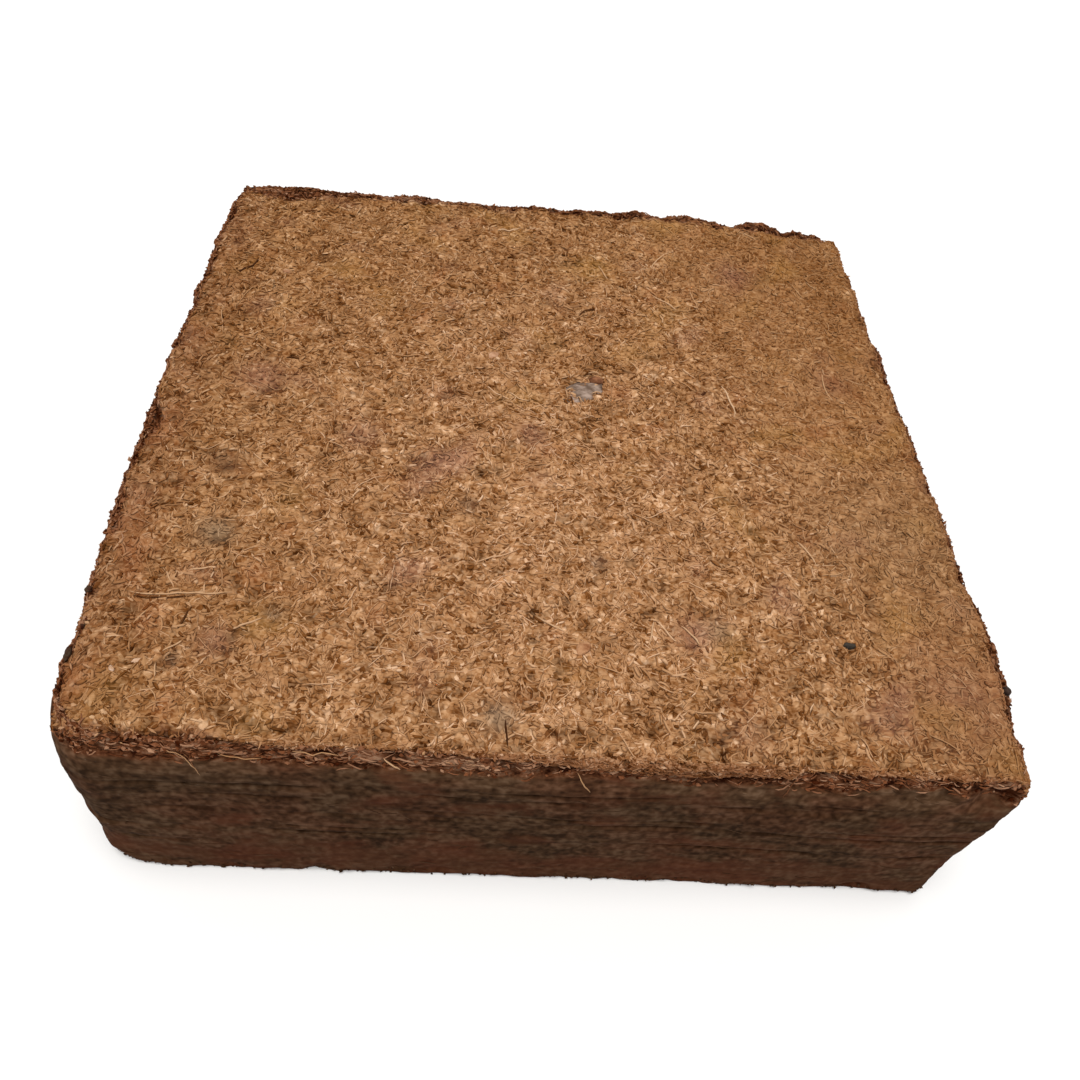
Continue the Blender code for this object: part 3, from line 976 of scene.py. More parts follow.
def block_finish():
    """Top, wall and rim colours mixed by values on the mesh, with painted shade where the skin is pitted.
    """
    finish = Finish("pressed_pith", roughness=0.95, shine=0.03)
    place = finish.place()
    bent = finish.bent(place, *BEND)
    wall, rim, pit = finish.value("wall"), finish.value("rim"), finish.value("pit")
    top, top_height = top_colour(finish, place, bent)
    side, side_height = wall_colour(finish, place, finish.bent(place, *WALL_BEND))
    torn, torn_height = rim_colour(finish, place, bent)
    # Painted shade: each colour is dimmed where the skin is pitted, cracks included.
    torn = finish.dim(torn, 1.12 - pit * 0.85)
    top = finish.mix(finish.value("torn"), finish.dim(top, 1.10 - pit * 0.6), torn)
    colour = finish.mix(wall, top, finish.dim(side, 1.06 - pit * 0.7))
    colour = finish.mix(rim, colour, torn)
    # Painted shade: the open crevice and the holes are painted dark brown.
    colour = finish.mix(finish.value("crevice") * 0.85, colour, CREVICE_SHADE)
    height = top_height * (1.0 - wall) + side_height * wall * 0.6
    height = height * (1.0 - rim) + torn_height * rim
    return finish.wear(colour, finish.bump(height, 0.6, 0.0008))


block_material = block_finish()
print("block finish has", len(block_material.node_tree.nodes), "nodes")

# %% [markdown]
# ## The skin of the block
#
# A box whose six sides are grids with shared edges is laid on the press box and hollowed. The grid is
# close where the rim is torn and where a crack runs, and wide elsewhere, so it stays under the limit for
# one piece. It is one closed mesh, with a flat map that spreads the top, the walls and the underside on
# one sheet.

# %% Grid places across and up the block
EDGE_ZONE = 0.012
EDGE_CELLS = 12
MIDDLE_CELLS = 126
ROW_STEP = 0.0019
RIM_ZONE = 0.013
RIM_CELLS = 13
CRACK_ROWS = np.array([-0.0012, -0.0006, 0.0, 0.0006, 0.0012])
CRACK_CLEARANCE = 0.0019
HAIR_CRACK_ROWS = np.array([-HAIR_CRACK_HALF_WIDTH, 0.0, HAIR_CRACK_HALF_WIDTH])
HAIR_CRACK_CLEARANCE = 0.0015


def side_places():
    """Narrow cells beside both edges and even ones between."""
    edge = np.linspace(0, EDGE_ZONE, EDGE_CELLS + 1)[:-1]
    middle = np.linspace(-HALF + EDGE_ZONE, HALF - EDGE_ZONE, MIDDLE_CELLS + 1)
    return np.concatenate([-HALF + edge, middle, HALF - edge[::-1]])


def height_places():
    """Even rows up to the rim zone, left out beside a crack, where a few close rows take their place."""
    even = np.arange(0, HEIGHT - RIM_ZONE - ROW_STEP / 2, ROW_STEP)
    for height in CRACK_HEIGHTS:
        even = even[abs(even - height) > CRACK_CLEARANCE]
    for height in HAIR_CRACKS:
        even = even[abs(even - height) > HAIR_CRACK_CLEARANCE]
    cracks = [height + CRACK_ROWS for height in CRACK_HEIGHTS]
    cracks += [height + HAIR_CRACK_ROWS for height in HAIR_CRACKS]
    rim = np.linspace(HEIGHT - RIM_ZONE, HEIGHT, RIM_CELLS + 1)
    return np.sort(np.concatenate([even, *cracks, rim]))


def box_skin(places):
    """Points and outward four-cornered faces of a box whose sides are grids, each point made once.

    A point's key is its three grid numbers in one, so the same key on two sides is the same point.
    """
    counts = [len(along) for along in places]
    corners = []
    for axis in range(3):
        u, v = (other for other in range(3) if other != axis)
        grid = np.meshgrid(np.arange(counts[u] - 1), np.arange(counts[v] - 1), indexing="ij")
        for end in (0, counts[axis] - 1):
            turns = ((0, 0), (1, 0), (1, 1), (0, 1))
            if (end > 0) == (axis == 1):
                turns = turns[::-1]
            keys = []
            for step_u, step_v in turns:
                number = [0, 0, 0]
                number[axis], number[u], number[v] = end, grid[0] + step_u, grid[1] + step_v
                keys.append((number[0] * counts[1] + number[1]) * counts[2] + number[2])
            corners.append(np.stack(keys, axis=-1).reshape(-1, 4))
    keys, faces = np.unique(np.concatenate(corners), return_inverse=True)
    i, rest = np.divmod(keys, counts[1] * counts[2])
    j, k = np.divmod(rest, counts[2])
    return np.stack([places[0][i], places[1][j], places[2][k]], axis=1), faces.reshape(-1, 4)


def volume(points, faces):
    """Signed volume: a sixth of the sum of corner triple products over a fan of each face."""
    total = 0.0
    for k in range(1, faces.shape[1] - 1):
        a, b, c = points[faces[:, 0]], points[faces[:, k]], points[faces[:, k + 1]]
        total += (a * np.cross(b, c)).sum() / 6
    return total


# %% Skin, values and flat map
across = side_places()
cube, block_faces = box_skin((across, across, height_places()))
block_points, block_out, block_fine = skin(cube)
# How much of a crack's depth counts as pitted, and the depths where the painted shade of a pit begins and
# is full.
JOINT_SHARE, PIT_DEPTHS = 0.6, (-0.0006, 0.0018)
joints = JOINT_SHARE * crack_grooves(pressed(cube)[0], cube[:, 2]) * (1 - abs(block_out[:, 2]))
block_pit_shade = ramp(block_fine + joints, *PIT_DEPTHS)

TONE_LENGTHS, TONE_SHARES = (0.0024, 0.0048, 0.011), (0.13, 0.08, 0.04)
PATCH_LENGTH, PATCH_SHARE, PATCH_ZONE = 0.014, 0.13, (-0.05, 0.08)
DEPTH_SHADE, SHADED_DEPTHS = 100.0, (-0.0012, 0.0020)
BAND_FOOT_START, BAND_FOOT_END = (-0.005, 0.0), (0.002, 0.006)
CALM_TINT = 0.56
SHEET_MARGIN, CELL_MARGIN = 0.004, 0.1
TOUCHING = 1e-6


def tone_and_depth_shade(cube, fine):
    """How much paler or darker a place is than the rest: slow noises, and painted light and shade by
    depth.

    The depth counts by DEPTH_SHADE a metre, between 1.2 mm up and 2 mm down. The back is patchier than the
    front. The torn band at the front has its own tones, and gets darker towards its lower end.
    """
    tone = -DEPTH_SHADE * np.clip(fine, *SHADED_DEPTHS)
    for k, (length, share) in enumerate(zip(TONE_LENGTHS, TONE_SHARES)):
        tone = tone + share * noise(cube, length, 311 + k)
    tone = tone + PATCH_SHARE * ramp(cube[:, 1], *PATCH_ZONE) * noise(cube, PATCH_LENGTH, 316)
    past = over_edge(cube) - band_limit(cube)
    tone = tone - BAND_FOOT_SHADE * ramp(past, *BAND_FOOT_START) * (1 - ramp(past, *BAND_FOOT_END))
    return tone + facing(cube)["front"] * rim_share(cube) * along_knots(BAND_TONES, cube[:, 0]) * 1000


def calmed(tint, rubbed):
    """Tints drawn towards the usual one where the top is rubbed flat."""
    return tint + CALM * rubbed * (CALM_TINT - tint)


def block_map(cube, faces):
    """The six sides on one sheet: the top beside the underside, and the walls in two rows over them."""
    sheet = 2 * WIDTH
    x, y, z = (cube[faces][..., axis] for axis in range(3))
    middle = cube[faces].mean(axis=1)
    flat_u, flat_v = (x + HALF) / sheet, (y + HALF) / sheet
    top, under = middle[:, 2] > HEIGHT - TOUCHING, middle[:, 2] < TOUCHING
    place = np.zeros((*faces.shape, 2))
    place[top] = np.stack([flat_u, flat_v], axis=-1)[top]
    place[under] = np.stack([flat_u + 0.5, flat_v], axis=-1)[under]
    for k, (axis, way) in enumerate(((1, -1), (1, 1), (0, -1), (0, 1))):
        on_side = way * middle[:, axis] > HALF - TOUCHING
        column, row = divmod(k, 2)
        u, v = ((y, x)[axis] + HALF) / sheet + 0.5 * column, 0.5 + z / sheet + 0.25 * row
        place[on_side] = np.stack([u, v], axis=-1)[on_side]
    return SHEET_MARGIN + (1 - 2 * SHEET_MARGIN) * place


block = bale_piece(
    "bale_block",
    block_points,
    block_faces,
    block_material,
    {
        "wall": wall_share(cube),
        "rim": rim_share(cube),
        "foot": foot_share(cube),
        "shoulder": shoulder_share(cube),
        "crevice": crevice_share(cube),
        "pit": block_pit_shade,
        # The tone holds slow noises and painted shade by depth.
        "tone": tone_and_depth_shade(cube, block_fine),
        "rubbed": rubbed_share(cube),
        **hues(cube),
    },
    block_map(cube, block_faces),
)
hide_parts("coir_bale")
print(f"block volume {volume(block_points, block_faces) * 1000:.3f} litres")

# %% [markdown]
# ## Where fibres and crumbs go
#
# A fibre may start on the top and hang over the rim, so its path is drawn on the block as if the skin
# were cut open and laid flat: one number runs along a side, and the other down over its top edge. Folding
# the flat path back gives cube points, and the skin function takes them to the real surface with all its
# lumps.

# %% Folding a flat path onto the block
QUARTER_COS = np.array([1, 0, -1, 0])
QUARTER_SIN = np.array([0, 1, 0, -1])


def fold(side, along, down):
    """Cube points for a place along a side and down over its top edge.

    Side 0 is the front, 1 the right, 2 the back and 3 the left. Down is below 0 on the top, from 0 to the
    height on the wall, and more on the underside. Past a side's end a path goes on round the corner.
    """
    over = np.maximum(abs(along) - HALF, 0)
    on_top, on_foot = down < 0, down > HEIGHT
    x = np.clip(along, -HALF, HALF)
    y = -HALF + np.where(on_top, -down, np.where(on_foot, down - HEIGHT, over))
    y = np.clip(y, -HALF, HALF)
    z = np.where(on_top, HEIGHT - over, np.where(on_foot, over, HEIGHT - down))
    cosine, sine = QUARTER_COS[side], QUARTER_SIN[side]
    return np.stack([x * cosine - y * sine, x * sine + y * cosine, z], axis=-1)


# %% [markdown]
# ## Fibres
#
# Coir fibre is short, stiff and springy: a thin tapered rod that keeps a slight bend. Each one here is a
# tube with three sides that ends in points, carried along a path whose heading turns steadily. Some lie
# flat, some have an end that stands up, and most dip into the pith. A cell of the flat map belongs to
# each, so a baked picture can give every fibre its own shade.


# %% Fibre maker
def tube_faces(sides, rings):
    """Corners and flat places of one closed tube: a fan at each tip, two triangles for each cell between.

    Point 0 is the first tip, then come the rings, side by side, and the last point is the other tip.
    """

    def corner(k, r):
        return np.stack([1 + r * sides + k % sides, k / sides, 0 * k + (r + 1) / (rings + 1)], axis=-1)

    def tip(number, k, v):
        return np.stack([np.full(sides, number), (k + 0.5) / sides, np.full(sides, v)], axis=-1)

    k, r = (grid.ravel() for grid in np.meshgrid(np.arange(sides), np.arange(rings - 1)))
    first = np.stack([corner(k, r), corner(k, r + 1), corner(k + 1, r + 1)], axis=1)
    second = np.stack([corner(k, r), corner(k + 1, r + 1), corner(k + 1, r)], axis=1)
    k = np.arange(sides)
    start = np.stack([tip(0, k, 0), corner(k, 0), corner(k + 1, 0)], axis=1)
    end = np.stack([tip(1 + rings * sides, k, 1), corner(k + 1, rings - 1), corner(k, rings - 1)], axis=1)
    table = np.concatenate([start, first, second, end])
    return table[..., 0].astype(int), table[..., 1:]


def cell_map(count, flat):
    """A flat map that gives each of count copies of a small map its own cell of one sheet."""
    rows = math.ceil(math.sqrt(count))
    number = np.arange(count)
    corner = np.stack([number % rows, number // rows], axis=-1)[:, None, None]
    return (corner + CELL_MARGIN + (1 - 2 * CELL_MARGIN) * flat[None]) / rows


def copies(name, points, faces, material, values, flat, smooth=True):
    """One piece of many closed forms, from (n, each, 3) points and one form's faces and flat map."""
    count, each = points.shape[:2]
    points = points.reshape(-1, 3)
    faces = (faces[None] + each * np.arange(count)[:, None, None]).reshape(-1, 3)
    assert volume(points, faces) > 0
    bale_piece(name, points, faces, material, values, cell_map(count, flat), smooth)


def unit(vectors):
    """Vectors scaled to length 1."""
    return vectors / (np.linalg.norm(vectors, axis=-1, keepdims=True) + 1e-12)


# The radius follows a sine that is taken this many times and cut off at 1, and is held near the tips.
BLUNT, TIP_TIMES = 1.5, (0.12, 0.88)


def fibres(name, material, seed, side, along, down, shape, tint, stations, sides=3, wobble=0.16):
    """Tapered tubes along bending paths on the skin.

    The heading runs from heading - turn/2 to heading + turn/2 with a little wobble, and the path is the
    running sum of its steps. The height over the skin is rise*sin(pi t), and end_rise*(2t - 1)^2 is added
    for t > 1/2. The radius goes as the sine, held level over the middle.
    """
    rng = np.random.default_rng(seed)
    count = len(along)
    t = np.linspace(0, 1, stations)
    wobble = rng.normal(0, wobble, (count, stations)).cumsum(axis=1)
    angle = shape["heading"][:, None] + shape["turn"][:, None] * (t - 0.5) + wobble
    stride = shape["length"][:, None] / (stations - 1)
    path_along = along[:, None] + np.cumsum(np.cos(angle) * stride, axis=1)
    path_down = down[:, None] - np.cumsum(np.sin(angle) * stride, axis=1)
    cube = fold(np.repeat(side, stations).reshape(count, -1), path_along, path_down)
    end_lift = np.where(t > 0.5, (2 * t - 1) ** 2, 0)
    lift = shape["rise"][:, None] * np.sin(np.pi * t) + shape["end_rise"][:, None] * end_lift
    cube = cube.reshape(-1, 3)
    spot, out, fine = skin(cube, lift.ravel())
    # Fibres take slow tones and painted shade by depth from the skin under them.
    tone = tone_and_depth_shade(cube, fine).reshape(count, stations)
    rubbed = rubbed_share(cube).reshape(count, stations)
    tint = calmed(tint + tone.mean(axis=1), rubbed.mean(axis=1))
    spot, out = spot.reshape(count, stations, 3), out.reshape(count, stations, 3)
    forward = unit(np.gradient(spot, axis=1))
    across = unit(np.cross(forward, out))
    above = np.cross(across, forward)
    taper = np.minimum(1, BLUNT * np.sin(np.pi * np.clip(t, *TIP_TIMES)))
    spin = 2 * np.pi * np.arange(sides) / sides
    ring = np.cos(spin)[:, None] * across[:, 1:-1, None] + np.sin(spin)[:, None] * above[:, 1:-1, None]
    reach = shape["radius"][:, None, None, None] * taper[None, 1:-1, None, None]
    ring = spot[:, 1:-1, None] + reach * ring
    points = np.concatenate([spot[:, :1], ring.reshape(count, -1, 3), spot[:, -1:]], axis=1)
    points[..., 2] = np.maximum(points[..., 2], 0)
    one, flat = tube_faces(sides, stations - 2)
    repeats = np.tile([1] + [sides] * (stations - 2) + [1], count)
    values = {hue: np.repeat(share, repeats) for hue, share in hues(cube).items()}
    values["tint"] = np.repeat(np.clip(tint, 0, 1), points.shape[1])
    copies(name, points, one, material, values, flat)


# %% [markdown]
# ## Crumbs
#
# Pith breaks into little lumps and splinters. The big ones are balls with twenty faces, the small ones
# diamonds with eight, which is all that a grain of a millimetre needs. Each is squashed by a different
# amount along each of its axes, its corners are pushed about, and it is set into the skin so that part of
# it shows.


# %% Crumb maker
def outward(corners, faces):
    """Faces turned so that their corners run anticlockwise seen from outside."""
    inside_out = [np.linalg.det(corners[list(face)]) <= 0 for face in faces]
    return np.array([(a, c, b) if wrong else (a, b, c) for (a, b, c), wrong in zip(faces, inside_out)])


def ball():
    """The twelve corners and twenty faces of an icosahedron, from the golden rectangle.

    Three corners make a face where each is one edge away from the others.
    """
    gold = (1 + math.sqrt(5)) / 2
    flat = np.array([(0, a, b * gold) for a in (-1, 1) for b in (-1, 1)])
    corners = unit(np.concatenate([np.roll(flat, turn, axis=1) for turn in range(3)]))
    apart = np.linalg.norm(corners[:, None] - corners[None], axis=-1)
    edge = apart[apart > 0.1].min() * 1.01
    trios = itertools.combinations(range(12), 3)
    return corners, outward(corners, [trio for trio in trios if apart[np.ix_(trio, trio)].max() < edge])


def diamond():
    """The six corners and eight faces of an octahedron."""
    corners = np.concatenate([np.eye(3), -np.eye(3)])
    faces = [(a, 1 + b, 2 + c) for a, b, c in itertools.product((0, 3), repeat=3)]
    return corners, outward(corners, faces)


BALL, DIAMOND = ball(), diamond()


def crumbs(name, material, seed, cube, shape, tint, form=DIAMOND, sink=0.35, tilt=0.25, jitter=0.2):
    """Squashed forms on the skin: size*(1, width, flatness) along three turned directions."""
    rng = np.random.default_rng(seed)
    corners, form_faces = form
    size, width, flatness = shape["size"], shape["width"], shape["flatness"]
    count, each = len(size), len(corners)
    spot, out, fine = skin(cube)
    # Crumbs take slow tones and painted shade by depth from the skin under them.
    tint = np.clip(calmed(tint + tone_and_depth_shade(cube, fine), rubbed_share(cube)), 0, 1)
    spot = spot + out * (size * flatness * (1 - 2 * sink))[:, None]
    lean = rng.normal(0, tilt, (count, 2))
    third = unit(np.cross(out, rng.normal(size=(count, 3))))
    up = unit(out + third * lean[:, :1] + np.cross(out, third) * lean[:, 1:])
    first = unit(np.cross(third, up))
    third = np.cross(up, first)
    local = corners[None] * (1 + rng.normal(0, jitter, (count, each, 1)))
    local = local * np.stack([size, size * width, size * flatness], axis=1)[:, None]
    points = spot[:, None] + (local[..., None] * np.stack([first, third, up], axis=1)[:, None]).sum(axis=2)
    points[..., 2] = np.maximum(points[..., 2], 0)
    half = np.where(corners[form_faces].mean(axis=1)[:, 2] > 0, 0.25, 0.75)[:, None]
    flat_x, flat_y = corners[form_faces][..., 0], corners[form_faces][..., 1]
    flat = np.stack([half + 0.24 * flat_x, 0.5 + 0.48 * flat_y], axis=-1)
    values = {hue: np.repeat(share, each) for hue, share in {"tint": tint, **hues(cube)}.items()}
    copies(name, points, form_faces, material, values, flat, smooth=False)


# %% [markdown]
# ## Finishes for the loose matter
#
# One recipe serves all fibres and crumbs: a shade for each, picked by its own value from a row of
# colours, and a little mottling along it. Fibres have a faint sheen, because their skin is hard and waxy;
# pith has none.


# %% Loose matter finishes
def loose_finish(name, stops, roughness, shine, mottle, of_top=False):
    """Mottled shades picked by each thing's tint; matter of the top turns to rim colours where torn."""
    finish = Finish(name, roughness, shine)
    place = finish.place()
    tint = finish.value("tint") + (finish.cloud(place, GRANULE_SCALE) - 0.5) * mottle
    colour = finish.shades(tint, stops)
    if of_top:
        torn = finish.value("torn")
        rim = finish.shades(tint - torn * 0.24, RIM_STOPS)
        colour = finish.mix(torn * 0.85, hued(finish, colour), rim)
    return finish.wear(colour, finish.bump(finish.cloud(place, 1000.0), 0.12, 0.0003))


PITH_STOPS = ((0.0, DARK_BROWN_AND_SHADE), (0.22, UMBER), (0.5, PITH), (0.78, TAN), (1.0, STRAW))
FIBRE_STOPS = ((0.0, DARK_BROWN_AND_SHADE), (0.16, UMBER), (0.36, PITH), (0.68, TAN), (1.0, STRAW))
RIM_STOPS = ((0.0, RIM_DARK), (0.42, RIM_MID), (0.85, RIM_PALE), (1.0, TAN))
WALL_STOPS = ((0.0, WALL_DARK), (0.5, WALL_MID), (0.85, WALL_PALE), (1.0, UMBER))
top_pith = loose_finish("top_pith", PITH_STOPS, 0.95, 0.03, 0.22, of_top=True)
top_fibre = loose_finish("top_fibre", FIBRE_STOPS, 0.85, 0.05, 0.18, of_top=True)
rim_matter = loose_finish("rim_matter", RIM_STOPS, 0.85, 0.03, 0.34)
wall_matter = loose_finish("wall_matter", WALL_STOPS, 0.85, 0.03, 0.30)

# %% [markdown]
# ## The top
#
# The face that was torn loose from the press plate is a mat of everything: granules, splinters, and bent
# fibres up to a few centimetres long. Their density is uneven, so a slow noise decides which of the
# random places are kept.


# %% Scattering on the top
# The length of the patches in which fibres and grains lie close, and how even the cover is.
FIBRE_PATCHES, GRAIN_PATCHES = (0.028, 1.6), (0.018, 1.2)
# Dark bits are painted shade of pits and crevices: their tint and its spread, and the spread of the rest.
PIT_SHADE_TINT, PIT_SHADE_SPREAD, USUAL_SPREAD = 0.21, 0.05, 0.13
# No end of a fibre dips further into the skin than this.
LOWEST_END = -0.0006


def between(ends, share):
    """The first end where share is 0 and the second where it is 1."""
    return ends[0] + (ends[1] - ends[0]) * share


def scattered(rng, count, seed, length, evenness):
    """Random flat places over the top, as a strip of the front side, thinned where a slow noise is low."""
    along = rng.uniform(-HALF, HALF, count * 2)
    down = rng.uniform(-WIDTH, 0, count * 2)
    cube = fold(np.zeros(count * 2, int), along, down)
    wanted = noise(cube, length, seed) + rng.uniform(-evenness, evenness, count * 2)
    best = np.sort(np.argsort(-wanted)[:count])
    return along[best], down[best], cube[best]


def mixed_tints(rng, count, mean, pit_shade_share):
    """Tints about a mean, but with a share of dark ones, which stand for painted shade in pits and
    crevices.
    """
    dark = rng.random(count) < pit_shade_share
    return np.where(dark, rng.normal(PIT_SHADE_TINT, PIT_SHADE_SPREAD, count), rng.normal(mean, USUAL_SPREAD, count))


def top_fibres(name, material, seed, count, lengths, radii, mean, pit_shade_share, curl, stations):
    """Fibres or shreds in every direction over the top."""
    rng = np.random.default_rng(seed)
    along, down, _ = scattered(rng, count, seed + 1, *FIBRE_PATCHES)
    shape = {
        "length": between(lengths, rng.beta(1.3, 3.0, count)),
        "heading": rng.uniform(0, 2 * np.pi, count),
        "turn": rng.normal(0, curl, count),
        "radius": between(radii, rng.beta(1.5, 2.2, count)),
        "rise": rng.normal(0.0001, 0.0002, count),
        "end_rise": np.maximum(rng.normal(-0.0003, 0.0006, count), LOWEST_END),
    }
    side, tint = np.zeros(count, int), mixed_tints(rng, count, mean, pit_shade_share)
    fibres(name, material, seed + 3, side, along, down, shape, tint, stations)


# Material, seed, count, lengths, radii, mean tint, share of dark ones (painted shade), curl and stations.
TOP_FIBRES = {
    "top_fibres_long": (top_fibre, 101, 1900, (0.007, 0.026), (0.00020, 0.00032), 0.66, 0.0, 0.9, 8),
    "top_fibres_short": (top_fibre, 111, 9800, (0.0028, 0.0080), (0.00030, 0.00055), 0.63, 0.08, 0.7, 5),
    "top_shreds": (top_pith, 116, 15800, (0.0018, 0.0055), (0.00042, 0.00080), 0.60, 0.17, 0.7, 4),
}
for name, settings in TOP_FIBRES.items():
    top_fibres(name, *settings)


def grain_shape(rng, count, sizes, widths, thicknesses):
    """Random sizes, mostly small, with widths and thicknesses as shares of the size."""
    return {
        "size": between(sizes, rng.beta(1.4, 3.5, count)),
        "width": rng.uniform(*widths, count),
        "flatness": rng.uniform(*thicknesses, count),
    }


def top_grains(name, seed, count, mean, pit_shade_share, *ranges, **settings):
    """Splinters, granules or crumbs over the top."""
    rng = np.random.default_rng(seed)
    _, _, cube = scattered(rng, count, seed + 1, *GRAIN_PATCHES)
    shape = grain_shape(rng, count, *ranges)
    tint = mixed_tints(rng, count, mean, pit_shade_share)
    crumbs(name, top_pith, seed + 3, cube, shape, tint, **settings)


# Seed, count, mean tint and share of dark ones (painted shade), then the ranges of size, width and
# thickness.
top_grains("top_splinters", 121, 7000, 0.62, 0.14, (0.0009, 0.0026), (0.26, 0.48), (0.15, 0.30), tilt=0.2)
top_grains("top_granules", 131, 7500, 0.54, 0.28, (0.0005, 0.0013), (0.5, 1.0), (0.35, 0.75))
top_grains("top_crumbs", 141, 700, 0.80, 0.0, (0.0006, 0.0013), (0.5, 1.0), (0.3, 0.5), form=BALL)

# %% [markdown]
# ## The rim and the walls
#
# Where the plate let go, the pith along the top edge tore out in a dark fibrous band, thicker at the
# front left. Below it the walls are tight: what shows are flat splinters and short fibres that lie in the
# layers.


# %% Rim and wall matter
def belt(rng, count, low, high, share):
    """Random places all round, between two distances down from the top edge, kept where share is high."""
    tries = 9 * count
    side = rng.integers(0, 4, tries)
    along, down = rng.uniform(-HALF, HALF, tries), rng.uniform(low, high, tries)
    cube = fold(side, along, down)
    kept = np.flatnonzero(share(cube) > rng.uniform(0.05, 0.95, tries))[:count]
    return side[kept], along[kept], down[kept], cube[kept]


def everywhere(cube):
    """The share 1 for every place."""
    return np.ones(len(cube))


def tan_share(cube):
    """1 on tan matter, also where it hangs, but less on the smoother right and 0 at its front corner."""
    return (1 - wall_share(cube)) * (1 - RIGHT_WHOLE * facing(cube)["right"]) * (1 - right_corner(cube))


# Spreads of the tints; no fibre is paler than the mean by more than one spread.
FIBRE_SPREAD, GRAIN_SPREAD = 0.20, 0.24
# From how far to how far down over the top edge each kind of matter lies, and its share there.
BROW_ZONE = (-0.0040, 0.0110, tan_share)
BAND_ZONE = (-0.0160, 0.0180, band_matter)
WALL_ZONE = (0.006, HEIGHT, everywhere)
LOWEST_ZONE = (HEIGHT - 0.004, HEIGHT + 0.001, everywhere)


def level_fibres(
    name, material, seed, count, zone, mean, lengths, radii, sway, curl, rise, end_rise, stations=6
):
    """Fibres round the walls whose headings stay near the level, one way or the other.

    The rise of the middle over the skin and that of the end are each given by a mean and a spread.
    """
    rng = np.random.default_rng(seed)
    side, along, down, _ = belt(rng, count, *zone)
    count = len(along)
    shape = {
        "length": between(lengths, rng.beta(1.3, 3.0, count)),
        "heading": rng.normal(0, sway, count) + np.pi * rng.integers(0, 2, count),
        "turn": rng.normal(0, curl, count),
        "radius": rng.uniform(*radii, count),
        "rise": rng.normal(*rise, count),
        "end_rise": np.maximum(rng.normal(*end_rise, count), LOWEST_END),
    }
    tint = np.minimum(rng.normal(mean, FIBRE_SPREAD, count), mean + FIBRE_SPREAD)
    fibres(name, material, seed + 1, side, along, down, shape, tint, stations)


def level_grains(name, material, seed, count, zone, mean, *ranges):
    """Crumbs round the walls."""
    rng = np.random.default_rng(seed)
    _, _, _, cube = belt(rng, count, *zone)
    shape = grain_shape(rng, len(cube), *ranges)
    tint = rng.normal(mean, GRAIN_SPREAD, len(cube))
    crumbs(name, material, seed + 1, cube, shape, tint)


# Seed, count, zone and mean tint, then lengths and radii, or the ranges of size, width and thickness.
level_grains(
    "brow_grains", top_pith, 151, 3000, BROW_ZONE, 0.55, (0.0004, 0.0013), (0.3, 0.9), (0.2, 0.6)
)
level_fibres(
    "brow_fibres", top_fibre, 161, 1200, BROW_ZONE, 0.52, (0.0025, 0.0075), (0.00018, 0.00032),
    sway=0.25, curl=0.6, rise=(0.0002, 0.0002), end_rise=(-0.0003, 0.0002),
)
level_fibres(
    "rim_fibres", rim_matter, 201, 4200, BAND_ZONE, 0.62, (0.0025, 0.009), (0.00018, 0.00034),
    sway=0.14, curl=0.45, rise=(0.0001, 0.0002), end_rise=(-0.0004, 0.0002), stations=5,
)
level_grains(
    "rim_grains", rim_matter, 211, 4000, BAND_ZONE, 0.42, (0.0006, 0.0018), (0.3, 0.8), (0.3, 0.7)
)
level_fibres(
    "wall_fibres", wall_matter, 221, 1000, WALL_ZONE, 0.50, (0.004, 0.016), (0.00009, 0.00016),
    sway=0.15, curl=0.3, rise=(0.0, 0.0001), end_rise=(-0.0003, 0.0003),
)
level_grains(
    "foot_grains", wall_matter, 231, 900, LOWEST_ZONE, 0.35, (0.0004, 0.0012), (0.4, 0.9), (0.3, 0.8)
)

# %% [markdown]
# ## Fibres that stand out
#
# A few fibres can be told one by one: thick pale ones lying on top, a loop, some across the grey chip,
# and five that hang over the torn band. Dark strokes on the top are painted shade: thin hollows between
# clumps that a fibre left, drawn as fibres of the darkest tint. Each is given by its two ends and by how
# much it bends, and its length follows, because an arc that turns by a has a chord of sin(a/2)/(a/2)
# times its length.

